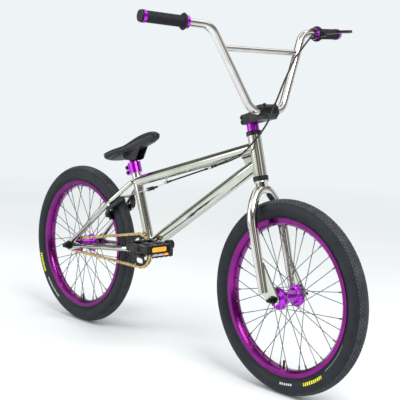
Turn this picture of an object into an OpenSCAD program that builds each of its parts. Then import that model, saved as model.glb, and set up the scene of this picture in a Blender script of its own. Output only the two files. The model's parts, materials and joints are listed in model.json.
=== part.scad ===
/* [Wheels] */
// Outer radius of both tyres
tyre_r = 257; // [250:1:264]
// Width of both tyres
tyre_w = 50; // [44:1:52]
// Wall of the tyres
tyre_wall = 3; // [2:0.5:4]
// Radius of the rims at the bead seat
bead_r = 203; // [200:1:206]
// Width of the rims over their flanges
rim_w = 33; // [29:1:36]
// Depth of the rims' box section below the bead
rim_depth = 11; // [9:1:16]
// Spokes in each wheel
spoke_count = 36; // [28:4:40]
// Diameter of the spokes
spoke_d = 2; // [1.6:0.1:2.4]
// Radius of the hub flanges
flange_r = 29; // [27:1:34]
// Distance of each front hub flange from the middle
front_flange_y = 33; // [28:1:35]
// Radius of the hub bodies between the flanges
hub_r = 15.5; // [15:0.5:18]
// Radius of the front axle
front_axle_r = 4.75; // [4:0.25:5]
// Radius of the rear axle
rear_axle_r = 7; // [5:0.25:7.5]
// Space between the fork ends
front_old = 100; // [96:1:110]
// Space between the rear frame ends
rear_old = 110; // [108:1:116]

/* [Frame] */
// Distance between the two axles
wheelbase = 906; // [890:1:960]
// Height of the bottom bracket's centre
bb_z = 293; // [280:1:305]
// Angle of the head tube to the ground
head_angle = 74; // [72:0.5:76]
// Angle of the seat tube to the ground
seat_angle = 69; // [68:0.5:71]
// Length of the head tube
head_len = 110; // [100:1:120]
// Outer radius of the head tube
head_r = 18; // [17.5:0.5:22]
// Outer radius of the top tube
top_r = 15.9; // [14:0.1:17]
// Outer radius of the down tube
down_r = 19; // [17:0.5:20]
// Outer radius of the seat tube
seat_tube_r = 14.5; // [14.3:0.1:16]
// Length of the seat tube above the bottom bracket
seat_tube_len = 266; // [255:1:290]
// Outer radius of the chain stays
chain_stay_r = 8.5; // [7:0.5:9]
// Outer radius of the seat stays
seat_stay_r = 7.5; // [6.5:0.5:8]
// Wall of the frame tubes
tube_wall = 1.6; // [1:0.1:2]
// Thickness of the dropout plates
dropout_t = 6; // [4:0.5:7]

/* [Fork and steering] */
// Length from the front axle to the lower headset race, along the steerer
fork_len = 314; // [305:1:325]
// Forward offset of the front axle from the steerer
fork_offset = 30; // [26:1:36]
// Distance of each blade's centre from the middle
blade_y = 57; // [57:1:62]
// Radius of the blades at the crown
blade_r = 13.2; // [12:0.2:14]
// Radius of the blades at their ends
blade_end_r = 11.2; // [10:0.2:12]
// Outer radius of the steerer
steerer_r = 14.3; // [12.7:0.1:14.3]
// Height of the headset spacer
spacer_h = 20; // [10:1:30]
// Height of the stem
stem_h = 27; // [26:1:34]
// Reach of the stem from the steerer to the bar
stem_reach = 58; // [48:1:60]
// Half width of the stem at the bar
stem_half_w = 27; // [24:1:30]

/* [Handlebar] */
// Radius of the handlebar tube
bar_r = 11.1; // [11:0.05:12.7]
// Rise of the bar
bar_rise = 216; // [200:1:230]
// Half of the bar's overall width along the ends
bar_half = 366; // [350:1:380]
// Distance of the upper corner from the middle
bar_corner_y = 172; // [165:1:180]
// Distance of the lower corner from the middle
bar_foot_y = 57; // [55:1:62]
// Backward sweep of the bar's ends
back_sweep = 10.5; // [6:0.5:14]
// Upward sweep of the bar's ends
up_sweep = 5; // [1:0.5:6]
// Forward lean of the bar from the steerer's line
bar_lean = 4.5; // [0:0.5:8]
// Height of the crossbar above the clamp
crossbar_z = 160; // [140:1:180]
// Radius of the crossbar
crossbar_r = 8; // [7:0.5:9]
// Radius of the grips
grip_r = 14.8; // [14:0.1:16]
// Length of each grip from its flange to its outer ring
grip_len = 112; // [100:1:114]

/* [Drivetrain] */
// Teeth on the sprocket
sprocket_teeth = 25; // [23:1:30]
// Teeth on the driver cog
cog_teeth = 9; // [9:1:11]
// Links in the chain
chain_links = 72; // [72:2:78]
// Distance of the chain's middle from the bike's middle
chain_y = 43.5; // [42:0.5:45]
// Length of the cranks
crank_len = 170; // [165:1:175]
// Angle of the right crank above forward
crank_angle = 16; // [0:1:45]
// Radius of the crank spindle
spindle_r = 11; // [9.5:0.5:11]
// Half width of the bottom bracket shell
bb_half_w = 36.5; // [34:0.5:37]
// Width of each pedal's platform
pedal_w = 100; // [90:1:110]
// Length of each pedal's platform
pedal_l = 92; // [85:1:105]
// Thickness of each pedal's platform
pedal_t = 24; // [20:1:28]

/* [Saddle] */
// Radius of the seat post
post_r = 12.7; // [12.5:0.1:12.7]
// Length of the seat post below its head
post_len = 150; // [120:1:160]
// Height of the post's head above the bottom bracket, along the seat tube
post_head = 296; // [294:1:310]
// Upward tilt of the saddle's nose
saddle_tilt = 20; // [12:1:24]

/* [Rear brake] */
// Distance of the brake's pivots from the rear axle, along the stays
pivot_t = 238; // [234:1:244]
// Distance of each brake pivot from the middle
pivot_y = 40; // [39:1:42]
// Gap between each brake pad and the rim
pad_gap = 2; // [1:0.5:3]

/* [Hidden] */
$fn = 64;
steel = "#c9c9c6";
dark_steel = "#4a4a4c";
black = "#1b1b1d";
purple = "#7a1fa0";
rubber = "#26272b";
gold = "#b79a4e";
amber = "#f2a21c";
silver = "#d8d8da";

// Clearances
run = 0.05;
slip = 0.3;

// Wheel values
tyre_c = tyre_r - tyre_w / 2;
rim_in = bead_r - rim_depth - 2;
rim_lip = bead_r + 5;
rim_wall = 2;
bearing_w = 8;
spoke_hole_r = flange_r - 3.2;
flange_t = 3.2;
nipple_r = 2.1;
nipple_l = 14;
spoke_side = 3;
front_x = wheelbase / 2;
rear_x = -wheelbase / 2;
axle_z = tyre_r;

// Chain line: pitch radii, and the centre distance at which the chain's links close
pitch = 12.7;
roller_r = 3.9;
sprocket_pr = pitch / 2 / sin(180 / sprocket_teeth);
cog_pr = pitch / 2 / sin(180 / cog_teeth);
function stay_for(a) = pitch / 2 * (chain_links - (180 + 2 * a) / (360 / sprocket_teeth)
    - (180 - 2 * a) / (360 / cog_teeth)) / cos(a);
function wrap_for(d) = asin((sprocket_pr - cog_pr) / d);
wrap_a = wrap_for(stay_for(wrap_for(stay_for(5))));
stay_len = stay_for(wrap_a);
bb_x = rear_x + sqrt(pow(stay_len, 2) - pow(bb_z - axle_z, 2));
stay_slope = atan2(bb_z - axle_z, bb_x - rear_x);

// Steering line: its foot is the point nearest the front axle
foot_x = front_x - fork_offset * sin(head_angle);
foot_z = axle_z - fork_offset * cos(head_angle);
cup_h = 12;
cup_r = 20.7;
head_s0 = fork_len + cup_h;
head_s1 = head_s0 + head_len;
stem_s0 = head_s1 + cup_h + spacer_h;
stem_s1 = stem_s0 + stem_h;
bar_s = stem_s1 - 6;
blade_s0 = 20;
front_plate_y = front_old / 2;
rear_plate_y = rear_old / 2;

// Frame joints in the side view, as distances along the tubes they meet
top_s = head_s1 - 32;
down_s = head_s0 + 34;
top_seat_s = 213;
down_lift = 13;
stay_angle = 41.6;
bb_r = 23;
bb_bore = 20.6;
clamp_s0 = 240;
clamp_h = 33;
guide_r = 4;

function head_pt(s) = [foot_x - s * cos(head_angle), 0, foot_z + s * sin(head_angle)];
function seat_pt(s) = [bb_x - s * cos(seat_angle), 0, bb_z + s * sin(seat_angle)];
function stay_pt(t, y, w = 0) = [
    rear_x + t * cos(stay_angle) + w * sin(stay_angle), y,
    axle_z + t * sin(stay_angle) - w * cos(stay_angle)];
top_front = head_pt(top_s);
top_rear = seat_pt(top_seat_s);
down_front = head_pt(down_s);
down_rear = [bb_x, 0, bb_z + down_lift];
function along(a, b, d) = a + (b - a) * d / norm(b - a);
function top_at(x) = top_rear[2] + (x - top_rear[0])
    * (top_front[2] - top_rear[2]) / (top_front[0] - top_rear[0]);

// Rear brake cable: route of its housing from the lever's barrel to the rear guide
cable_r = 2.4;
wire_r = 0.8;
cable_route = [
    [317, 222, 949.5], [320.4, 205, 948.7], [324, 188, 941], [327, 168, 926], [329, 145, 905],
    [331, 118, 880], [337, 88, 843], [347, 56, 806], [361, 22, 769], [373, -8, 738], [378, -26, 712], [369, -37, 686],
    [350, -39, 664], [326, -36, 643], [302, -31, 626], [277, -25, 612], [246, -16, 600], [212, -7, 589],
    [176, -1, 578], [140, 0, 566], [92, 0, 550], [44, 0, 534], [-4, 0, 518], [-52, 0, 502]];
hanger_front = [-90, 0, 486];
hanger_back = [-134, 0, 472];
guide_x = [140, -48];

// A round bar from p to q
module rod(p, q, r, r2 = undef) {
    d = q - p;
    translate(p) rotate([0, acos(d[2] / norm(d)), atan2(d[1], d[0])])
        cylinder(h = norm(d), r1 = r, r2 = is_undef(r2) ? r : r2);
}

// A tube from p to q
module pipe(p, q, r, wall) {
    difference() {
        rod(p, q, r);
        rod(along(p, q, -1), along(q, p, -1), r - wall);
    }
}

module both_sides() {
    children();
    mirror([0, 1, 0]) children();
}

// Turned about the Y axis through (x, z)
module on_y(x, z, y = 0) translate([x, y, z]) rotate([-90, 0, 0]) children();

// The steerer's frame: +Z up the steerer, +X forward, its origin level with the axle
module on_steerer() translate([foot_x, 0, foot_z]) rotate([0, head_angle - 90, 0]) children();

// The seat tube's frame: +Z up the tube, +X forward
module on_seat_tube() translate([bb_x, 0, bb_z]) rotate([0, seat_angle - 90, 0]) children();

// The bar's frame: its origin is the middle of the clamp
module on_bar() on_steerer() translate([stem_reach, 0, bar_s]) rotate([0, bar_lean, 0]) children();

// The left grip's frame: +Y runs out along the bar from its upper corner
module on_grip() on_bar() translate([0, bar_corner_y, bar_rise]) rotate([up_sweep, 0, back_sweep]) children();
grip_end = (bar_half - bar_corner_y) / cos(back_sweep) / cos(up_sweep);
grip_s1 = grip_end - 10;
grip_s0 = grip_s1 - grip_len;
lever_s = grip_s0 - 14;
lever_x = 34;

// ---- wheels ----
module wheel_ring(x) on_y(x, axle_z) rotate_extrude($fn = 128) children();

module tyre_body(x, inset) {
    flat = tyre_w / 2 - 1.2 - inset;
    bead_half = rim_w / 2 - 2.6 - inset * 0.55;
    foot = bead_r - 2 - inset;
    wheel_ring(x) translate([tyre_c, 0]) circle(r = tyre_w / 2 - inset);
    over_lip = rim_lip + slip;
    wheel_ring(x) polygon([[foot, -bead_half], [foot, bead_half], [over_lip, bead_half], [tyre_c - 6, flat],
        [tyre_c - 6, -flat], [over_lip, -bead_half]]);
}

module tyre(x) difference() {
    tyre_body(x, 0);
    tyre_body(x, tyre_wall);
}

module inner_tube(x) {
    tube_r = tyre_w / 2 - tyre_wall - slip;
    valve_r0 = rim_in - 20;
    difference() {
        union() {
            wheel_ring(x) translate([tyre_c, 0]) circle(r = tube_r);
            translate([x, 0, axle_z - tyre_c]) cylinder(h = tyre_c - valve_r0, r = 3);
        }
        wheel_ring(x) translate([tyre_c, 0]) circle(r = tube_r - 1.5);
        translate([x, 0, axle_z - tyre_c + 1]) cylinder(h = tyre_c - valve_r0 + 2, r = 1.2);
    }
}

module rim_outline() {
    half = rim_w / 2;
    difference() {
        polygon([[rim_in, -half + 7], [rim_in, half - 7], [bead_r - 6, half], [rim_lip, half],
            [rim_lip, half - rim_wall], [bead_r - 2.3, half - rim_wall], [bead_r - 5, 6], [bead_r - 5, -6],
            [bead_r - 2.3, rim_wall - half], [rim_lip, rim_wall - half], [rim_lip, -half], [bead_r - 6, -half]]);
        polygon([[rim_in + rim_wall, 8 - half], [rim_in + rim_wall, half - 8], [bead_r - 7, half - 4],
            [bead_r - 7, 4 - half]]);
    }
}

module rim(x) difference() {
    wheel_ring(x) rim_outline();
    translate([x, 0, axle_z - bead_r]) cylinder(h = rim_depth + 4, r = 3.5);
    for (k = [0 : spoke_count - 1]) rod(rim_point(x, k, rim_in - 4), rim_point(x, k, rim_in + 6), nipple_r + 1);
}

// Spokes leave the left flange at even holes and the right flange at odd ones
function spoke_turn(k) = (k + 0.5) * 360 / spoke_count;
function spoke_left(k) = k % 2 == 0 ? 1 : -1;
function rim_point(x, k, r) = [
    x + r * cos(spoke_turn(k)), spoke_left(k) * spoke_side, axle_z + r * sin(spoke_turn(k))];
spoke_lap = 3 * 720 / spoke_count;
function spoke_outside(k) = floor(k / 2) % 2 == 0;
function hub_point(x, k, y) = [
    x + spoke_hole_r * cos(spoke_turn(k) + (spoke_outside(k) ? spoke_lap : -spoke_lap)), y,
    axle_z + spoke_hole_r * sin(spoke_turn(k) + (spoke_outside(k) ? spoke_lap : -spoke_lap))];

module spoke_set(x, left_y, right_y) for (k = [0 : spoke_count - 1]) {
    side = spoke_left(k);
    flange = side > 0 ? left_y : right_y;
    lift = flange_t / 2 + spoke_d / 2 + (spoke_outside(k) ? 2.6 : 0.3);
    head = hub_point(x, k, side * (flange + (spoke_outside(k) ? lift : -lift)));
    tail = hub_point(x, k, side * (flange + (spoke_outside(k) ? -1 : 1) * (flange_t / 2 + 1)));
    seat = rim_point(x, k, rim_in + 3);
    joint = along(seat, head, nipple_l);
    rod(head, along(joint, head, run), spoke_d / 2);
    rod(tail, head, spoke_d / 2 - run);
    translate(head) sphere(r = spoke_d / 2 + 0.15);
    rod(joint, seat, nipple_r);
}

module hub(x, left_y, right_y, end_left, end_right, bearing_r, axle_r) difference() {
    on_y(x, axle_z) rotate_extrude() difference() {
        polygon([[0, -end_right], [17, -end_right], [17, -right_y - flange_t / 2], [flange_r, -right_y - flange_t / 2],
            [flange_r, -right_y + flange_t / 2], [spoke_hole_r - 3, -right_y + flange_t / 2],
            [hub_r + 2, -right_y + flange_t / 2 + 3], [hub_r, -right_y + 12],
            [hub_r, left_y - 12], [hub_r + 2, left_y - flange_t / 2 - 3],
            [spoke_hole_r - 3, left_y - flange_t / 2], [flange_r, left_y - flange_t / 2],
            [flange_r, left_y + flange_t / 2], [17, left_y + flange_t / 2], [17, end_left], [0, end_left]]);
        translate([-1, -end_right - 1]) square([axle_r + 3, end_left + end_right + 2]);
        translate([-1, end_left - bearing_w]) square([bearing_r + run + 1, bearing_w + 1]);
        translate([-1, -end_right - 1]) square([bearing_r + run + 1, bearing_w + 1]);
    }
    for (k = [0 : spoke_count - 1]) {
        y = spoke_left(k) * (spoke_left(k) > 0 ? left_y : right_y);
        rod(hub_point(x, k, y - 3), hub_point(x, k, y + 3), spoke_d / 2 + slip);
    }
}

module ring_on_y(x, z, y0, y1, r_out, r_in) on_y(x, z, y0) difference() {
    cylinder(h = y1 - y0, r = r_out);
    translate([0, 0, -1]) cylinder(h = y1 - y0 + 2, r = r_in);
}

rear_left_y = 31;
rear_right_y = 26;
rear_end_left = 47;
rear_end_right = 33;
driver_y1 = 50;
front_end = front_old / 2 - 5;
front_bearing_r = 13;
rear_bearing_r = 14;

module front_tyre() color(rubber) tyre(front_x);
module rear_tyre() color(rubber) tyre(rear_x);
module front_tube() color(black) inner_tube(front_x);
module rear_tube() color(black) inner_tube(rear_x);
module front_rim() color(purple) rim(front_x);
module rear_rim() color(purple) rim(rear_x);
module front_spokes() color(dark_steel) spoke_set(front_x, front_flange_y, front_flange_y);
module rear_spokes() color(dark_steel) spoke_set(rear_x, rear_left_y, rear_right_y);
module front_hub() color(purple)
    hub(front_x, front_flange_y, front_flange_y, front_end, front_end, front_bearing_r, front_axle_r);
module rear_hub() color(purple)
    hub(rear_x, rear_left_y, rear_right_y, rear_end_left, rear_end_right, rear_bearing_r, rear_axle_r);

module front_bearings() color(silver) both_sides()
    ring_on_y(front_x, axle_z, front_end - bearing_w, front_end, front_bearing_r, front_axle_r + run);

module rear_bearings() color(silver) {
    ring_on_y(rear_x, axle_z, rear_end_left - bearing_w, rear_end_left, rear_bearing_r, rear_axle_r + run);
    ring_on_y(rear_x, axle_z, -rear_end_right, -rear_end_right + bearing_w, rear_bearing_r, rear_axle_r + run);
}

// An axle with its two cones, in one piece, as long as the nuts need
nut_t = 9;
axle_spare = 10;
stub_ease = 0.25;

// The rod of an axle: its free ends, past the nuts, are a little thinner
module axle_rod(x, half, r) {
    on_y(x, axle_z, -half) cylinder(h = 2 * half, r = r - stub_ease);
    on_y(x, axle_z, axle_spare - slip - half) cylinder(h = 2 * (half - axle_spare + slip), r = r);
}

module front_axle() color(black) {
    half = front_plate_y + dropout_t + nut_t + 2 + axle_spare;
    axle_rod(front_x, half, front_axle_r);
    both_sides() ring_on_y(front_x, axle_z, front_end + slip, front_plate_y, 8, front_axle_r - 0.5);
}

module rear_axle() color(black) {
    half = rear_plate_y + dropout_t + nut_t + 3 + axle_spare;
    axle_rod(rear_x, half, rear_axle_r);
    ring_on_y(rear_x, axle_z, rear_end_left + slip, rear_plate_y, 10.5, rear_axle_r - 0.5);
    ring_on_y(rear_x, axle_z, -rear_plate_y, -driver_y1 - slip, 10.5, rear_axle_r - 0.5);
}

module axle_nut_pair(x, plate_y, r, across, washer) both_sides() {
    y0 = plate_y + dropout_t;
    difference() {
        union() {
            on_y(x, axle_z, y0) cylinder(h = washer, r = across * 0.72);
            on_y(x, axle_z, y0 + washer) cylinder(h = nut_t, r = across / 2 / cos(30), $fn = 6);
        }
        on_y(x, axle_z, y0 - 1) cylinder(h = nut_t + washer + 2, r = r + run);
    }
}

module front_axle_nuts() color(black) axle_nut_pair(front_x, front_plate_y, front_axle_r, 15, 2);
module rear_axle_nuts() color(black) axle_nut_pair(rear_x, rear_plate_y, rear_axle_r, 19, 3);

// ---- frame ----
module head_solid() rod(head_pt(head_s0), head_pt(head_s1), head_r);
module seat_solid() rod(seat_pt(0), seat_pt(seat_tube_len), seat_tube_r);
module bb_solid() on_y(bb_x, bb_z, -bb_half_w) cylinder(h = 2 * bb_half_w, r = bb_r);

module head_tube() color(steel) difference() {
    head_solid();
    rod(head_pt(head_s0 - 1), head_pt(head_s1 + 1), head_r - 2);
}

module top_tube() color(steel) difference() {
    rod(along(top_rear, top_front, 6), along(top_front, top_rear, 6), top_r);
    rod(top_rear, top_front, top_r - tube_wall);
    head_solid();
    seat_solid();
}

module down_solid() rod(down_rear, along(down_front, down_rear, 6), down_r);

module down_tube() color(steel) difference() {
    down_solid();
    rod(down_rear, down_front, down_r - tube_wall);
    head_solid();
    seat_solid();
    bb_solid();
}

module seat_tube() color(steel) difference() {
    seat_solid();
    rod(seat_pt(0), seat_pt(seat_tube_len + 1), post_r + run);
    bb_solid();
}

module bb_shell() color(steel) difference() {
    bb_solid();
    on_y(bb_x, bb_z, -bb_half_w - 1) cylinder(h = 2 * bb_half_w + 2, r = bb_bore);
}

module gusset() difference() {
    rotate([90, 0, 0]) translate([0, 0, -2]) linear_extrude(4)
        polygon([[head_pt(top_s)[0], head_pt(top_s)[2]], [head_pt(down_s)[0], head_pt(down_s)[2]],
            [along(down_front, down_rear, 82)[0], along(down_front, down_rear, 82)[2]],
            [along(top_front, top_rear, 96)[0], along(top_front, top_rear, 96)[2]]]);
    head_solid();
    rod(top_rear, top_front, top_r);
    down_solid();
    translate([along(down_front, down_rear, 98)[0], 0, along(down_front, down_rear, 98)[2] + 34])
        rotate([90, 0, 0]) cylinder(h = 10, r = 36, center = true);
}

function on_stay_line(x) = axle_z + (x - rear_x) * tan(stay_slope);
chain_stay_pts = [for (p = [[bb_x - 10, 23], [bb_x - 88, 36.5], [rear_x + 24, 58]])
    [p[0], p[1], on_stay_line(p[0])]];
chain_bridge = [for (side = [-1, 1]) [bb_x - 66, side * 25.2, on_stay_line(bb_x - 66)]];
seat_stay_pts = [stay_pt(24, 58), stay_pt(254, 38.5), stay_pt(351, 17)];

// A tube through hand-set corners, mitred at each
module mitred(pts, r) for (i = [0 : len(pts) - 2]) rod(pts[i], pts[i + 1], r);

module corner_balls(pts, r) for (i = [1 : len(pts) - 2]) translate(pts[i]) rotate([90, 0, 0]) sphere(r = r + 0.1);

module rear_plate() translate([0, rear_plate_y, 0]) rotate([-90, 0, 0]) linear_extrude(dropout_t) difference() {
    union() {
        translate([rear_x, -axle_z]) circle(r = 19);
        polygon([for (p = [stay_pt(6, 0, 16), stay_pt(48, 0, 6), stay_pt(56, 0, -6), stay_pt(4, 0, -18)]) [p[0], -p[2]]]);
        polygon([[rear_x, -axle_z - 18], [rear_x + 56, -on_stay_line(rear_x + 56) - 7],
            [rear_x + 56, -on_stay_line(rear_x + 56) + 7], [rear_x, -axle_z + 18]]);
    }
    translate([rear_x, -axle_z]) circle(r = rear_axle_r + 0.2);
    translate([rear_x - 30, -axle_z - rear_axle_r - 0.2]) square([30, 2 * rear_axle_r + 0.4]);
}

module chain_stays() color(steel) {
    both_sides() difference() {
        union() {
            mitred(chain_stay_pts, chain_stay_r);
            corner_balls(chain_stay_pts, chain_stay_r);
        }
        bb_solid();
        rear_plate();
    }
    rod(chain_bridge[0], chain_bridge[1], 5);
}

module seat_stays() color(steel) {
    both_sides() difference() {
        union() {
            mitred(seat_stay_pts, seat_stay_r);
            corner_balls(seat_stay_pts, seat_stay_r);
        }
        seat_solid();
        rod(top_rear, top_front, top_r);
        rear_plate();
    }
    rod(stay_pt(272, -28), stay_pt(272, 28), 5);
}

module rear_dropouts() color(steel) both_sides() rear_plate();

// Brake pivots: a boss on each seat stay, a stud and its cap
boss_w = 12;
arm_t = 12;
pivot_r = 4;
arm_w0 = boss_w + slip;
arm_w1 = arm_w0 + arm_t;
module brake_boss() difference() {
    union() {
        rod(stay_pt(pivot_t, pivot_y), stay_pt(pivot_t, pivot_y, boss_w), 7);
        rod(stay_pt(pivot_t, pivot_y, boss_w), stay_pt(pivot_t, pivot_y, arm_w1 + 1), pivot_r);
        rod(stay_pt(pivot_t, pivot_y, arm_w1 + slip), stay_pt(pivot_t, pivot_y, arm_w1 + 3), 6.5);
    }
    mitred(seat_stay_pts, seat_stay_r);
}

// Guides that carry the cable below the top tube
cable_slope = (cable_route[19][2] - cable_route[23][2]) / (cable_route[19][0] - cable_route[23][0]);
module cable_guide(x) {
    cable_z = cable_route[23][2] + (x - cable_route[23][0]) * cable_slope;
    difference() {
        union() {
            rod([x, 0, cable_z], [x, 0, top_at(x)], 2.8);
            rod([x - 6, 0, cable_z - 6 * cable_slope], [x + 6, 0, cable_z + 6 * cable_slope], cable_r + 1.8);
        }
        rod([x - 12, 0, cable_z - 12 * cable_slope], [x + 12, 0, cable_z + 12 * cable_slope], cable_r + slip);
        rod(top_rear, top_front, top_r);
    }
}

module frame_fittings() color(steel) {
    gusset();
    both_sides() brake_boss();
    for (x = guide_x) cable_guide(x);
}

// ---- headset ----
cup_bore = 18;
module ring_on_steerer(s0, s1, r_out, r_in) on_steerer() translate([0, 0, s0]) difference() {
    cylinder(h = s1 - s0, r = r_out);
    translate([0, 0, -1]) cylinder(h = s1 - s0 + 2, r = r_in);
}

module headset_cups() color(black) {
    ring_on_steerer(fork_len + 0.5, head_s0, cup_r, cup_bore);
    ring_on_steerer(head_s1, head_s1 + cup_h - 0.5, cup_r, cup_bore);
}

module headset_bearings() color(silver) {
    ring_on_steerer(head_s0 - 9, head_s0 - 1, cup_bore - run, steerer_r + run);
    ring_on_steerer(head_s1 + 1, head_s1 + 9, cup_bore - run, steerer_r + run);
}

module headset_spacer() color(purple)
    ring_on_steerer(head_s1 + cup_h, stem_s0 - run, 16.2, steerer_r + run);

// ---- fork ----
// The crown is an arch of two arcs on each side, tangent to the blades and to each other
shoulder_r = 130;
shoulder_a = 40;
crown_s = fork_len - 10;
crown_bend_r = (blade_y - shoulder_r * (1 - cos(shoulder_a))) / cos(shoulder_a);
shoulder_s = crown_s - blade_r - crown_bend_r * (1 - sin(shoulder_a)) - shoulder_r * sin(shoulder_a);
// Pieces of a bent tube lap by a short length, the lapped one thinner by a hair on both faces
lap = 0.6;
ease = 0.05;
module tube_ring(r_out, r_in) difference() {
    circle(r = r_out);
    circle(r = r_in);
}

// Arc centred at (y, s) in the fork's own plane, from angle a0 to a1
module fork_arc(y, s, radius, a0, a1) translate([0, y, s]) rotate([90, 0, 90]) rotate([0, 0, a0])
    rotate_extrude(angle = a1 - a0) translate([radius, 0]) children();

crown_lap = lap / crown_bend_r * 180 / PI;
module crown_arc() fork_arc(0, crown_s - blade_r - crown_bend_r, crown_bend_r, shoulder_a - crown_lap,
    180 - shoulder_a + crown_lap) children();

module blade_outside(r_top) translate([0, blade_y, blade_s0])
    cylinder(h = shoulder_s - blade_s0 + lap, r1 = blade_end_r, r2 = r_top);

module fork_blades() color(steel) on_steerer() {
    both_sides() {
        difference() {
            blade_outside(blade_r - ease);
            translate([0, blade_y, blade_s0 + 2]) cylinder(h = shoulder_s - blade_s0,
                r1 = blade_end_r - tube_wall, r2 = blade_r - tube_wall + ease);
            translate([0, blade_y, blade_s0 - 1]) cylinder(h = 4, r = 2);
        }
        fork_arc(blade_y - shoulder_r, shoulder_s, shoulder_r, 0, shoulder_a)
            tube_ring(blade_r, blade_r - tube_wall);
    }
    crown_arc() tube_ring(blade_r - ease, blade_r - tube_wall + ease);
}

// The steerer stands on the crown and carries the crown race
module fork_steerer() color(steel) on_steerer() difference() {
    union() {
        translate([0, 0, crown_s - 8]) cylinder(h = stem_s1 - crown_s + 6, r = steerer_r);
        translate([0, 0, crown_s - 8]) cylinder(h = fork_len - crown_s + 2, r = steerer_r + 2.4);
        translate([0, 0, fork_len - 6]) cylinder(h = 6, r = cup_r - 0.7);
    }
    translate([0, 0, crown_s + 3]) cylinder(h = stem_s1, r = steerer_r - 2.5);
    crown_arc() circle(r = blade_r);
}

module fork_plate() translate([0, front_plate_y + dropout_t, 0]) rotate([90, 0, 0])
    linear_extrude(dropout_t) difference() {
        union() {
            translate([fork_offset, 0]) circle(r = 16.5);
            polygon([[4, 102], [13, 98], [46, 6], [42, -12], [fork_offset, -16.5], [14, -6], [-6, 18], [-6, 26]]);
        }
        translate([fork_offset, 0]) circle(r = front_axle_r + 0.2);
        translate([fork_offset - front_axle_r - 0.2, -20]) square([2 * front_axle_r + 0.4, 20]);
    }

module fork_dropouts() color(steel) on_steerer() both_sides() difference() {
    fork_plate();
    blade_outside(blade_r);
}

// ---- stem ----
bar_lx = stem_reach;
clamp_bolt_x = bar_r + 3.6;
cap_half_x = clamp_bolt_x + 4.6;
cap_top = bar_s + 17;
stem_rear = steerer_r + 5;
split_gap = 0.6;
module bar_bore() translate([bar_lx, -60, bar_s]) rotate([-90, 0, 0]) cylinder(h = 120, r = bar_r + run);

module clamp_bolt_spots() for (sx = [-1, 1], sy = [-1, 1])
    translate([bar_lx + sx * clamp_bolt_x, sy * (stem_half_w - 7), 0]) children();

module stem_body() color(black) on_steerer() difference() {
    rotate([90, 0, 0]) translate([0, 0, -stem_half_w]) linear_extrude(2 * stem_half_w)
        polygon([[-stem_rear, stem_s0 + 3], [-stem_rear, stem_s1 - 3], [4 - stem_rear, stem_s1],
            [bar_lx - cap_half_x - 5, stem_s1], [bar_lx - cap_half_x - 1, bar_s - split_gap],
            [bar_lx + cap_half_x, bar_s - split_gap], [bar_lx + cap_half_x, bar_s - 10],
            [bar_lx + 6, stem_s0 - 1.5], [24, stem_s0], [3 - stem_rear, stem_s0]]);
    both_sides() translate([-stem_rear - 1, stem_half_w - 5, stem_s0 - 5])
        linear_extrude(stem_h + 10) polygon([[0, 0], [28, 0], [42, 5.1], [42, 9], [0, 9]]);
    translate([0, 0, stem_s0 - 5]) cylinder(h = stem_h + 10, r = steerer_r + run);
    bar_bore();
    translate([-stem_rear - 1, -1, stem_s0 - 5]) cube([8, 2, stem_h + 10]);
    clamp_bolt_spots() translate([0, 0, bar_s - 17]) cylinder(h = 20, r = 2.5 + run);
    for (s = [stem_s0 + 7, stem_s1 - 7]) translate([-steerer_r - 1.8, -60, s]) rotate([-90, 0, 0])
        cylinder(h = 60 + stem_half_w - 8, r = 1.5 + run);
    translate([30, 0, stem_s0 + 6]) cube([18, 16, stem_h - 12], center = true);
}

module stem_cap() color(black) on_steerer() difference() {
    rotate([90, 0, 0]) translate([0, 0, -stem_half_w]) linear_extrude(2 * stem_half_w)
        polygon([[bar_lx - cap_half_x, bar_s + split_gap], [bar_lx + cap_half_x, bar_s + split_gap],
            [bar_lx + cap_half_x, cap_top - 9], [bar_lx + cap_half_x - 8, cap_top - 1], [bar_lx + 5, cap_top],
            [bar_lx - cap_half_x + 6, cap_top], [bar_lx - cap_half_x, cap_top - 4]]);
    bar_bore();
    clamp_bolt_spots() translate([0, 0, bar_s - 1]) cylinder(h = 30, r = 2.5 + run);
    clamp_bolt_spots() translate([0, 0, cap_top - 5]) cylinder(h = 30, r = 4.4);
}

module stem_bolts() color(black) on_steerer() {
    clamp_bolt_spots() {
        translate([0, 0, bar_s - 15]) cylinder(h = cap_top - 4.9 - bar_s + 15, r = 2.5);
        translate([0, 0, cap_top - 4.9]) difference() {
            cylinder(h = 5.4, r = 4.1);
            translate([0, 0, 3]) cylinder(h = 4, r = 2.2, $fn = 6);
        }
    }
    for (s = [stem_s0 + 7, stem_s1 - 7]) translate([-steerer_r - 1.8, -stem_half_w + 5 - 2.5, s])
        rotate([-90, 0, 0]) {
            cylinder(h = 2.4, r = 3.2);
            cylinder(h = 2 * stem_half_w - 14, r = 1.5);
        }
}

// ---- handlebar ----
// A tube through points, each corner a true arc of its own radius
function unit(v) = v / norm(v);
function turn_at(p, i) = acos(unit(p[i] - p[i - 1]) * unit(p[i + 1] - p[i]));
function trim_at(p, rad, i) = i == 0 || i == len(p) - 1 ? 0 : rad[i] * tan(turn_at(p, i) / 2);

module straight(p, q, r_out, r_in) {
    d = q - p;
    translate(p) rotate([0, acos(d[2] / norm(d)), atan2(d[1], d[0])]) linear_extrude(norm(d))
        tube_ring(r_out, r_in);
}

// The arc that starts at a point and turns from one direction to another, lapping both its neighbours
module bend(start, d_in, d_out, radius, r_out, r_in) {
    n = unit(d_out - d_in * (d_out * d_in));
    c = start + radius * n;
    z = cross(-n, d_in);
    lap_a = lap / radius * 180 / PI;
    multmatrix([[-n[0], d_in[0], z[0], c[0]], [-n[1], d_in[1], z[1], c[1]], [-n[2], d_in[2], z[2], c[2]]])
        rotate([0, 0, -lap_a]) rotate_extrude(angle = acos(d_in * d_out) + 2 * lap_a) translate([radius, 0])
            tube_ring(r_out - ease, r_in + ease);
}

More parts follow.
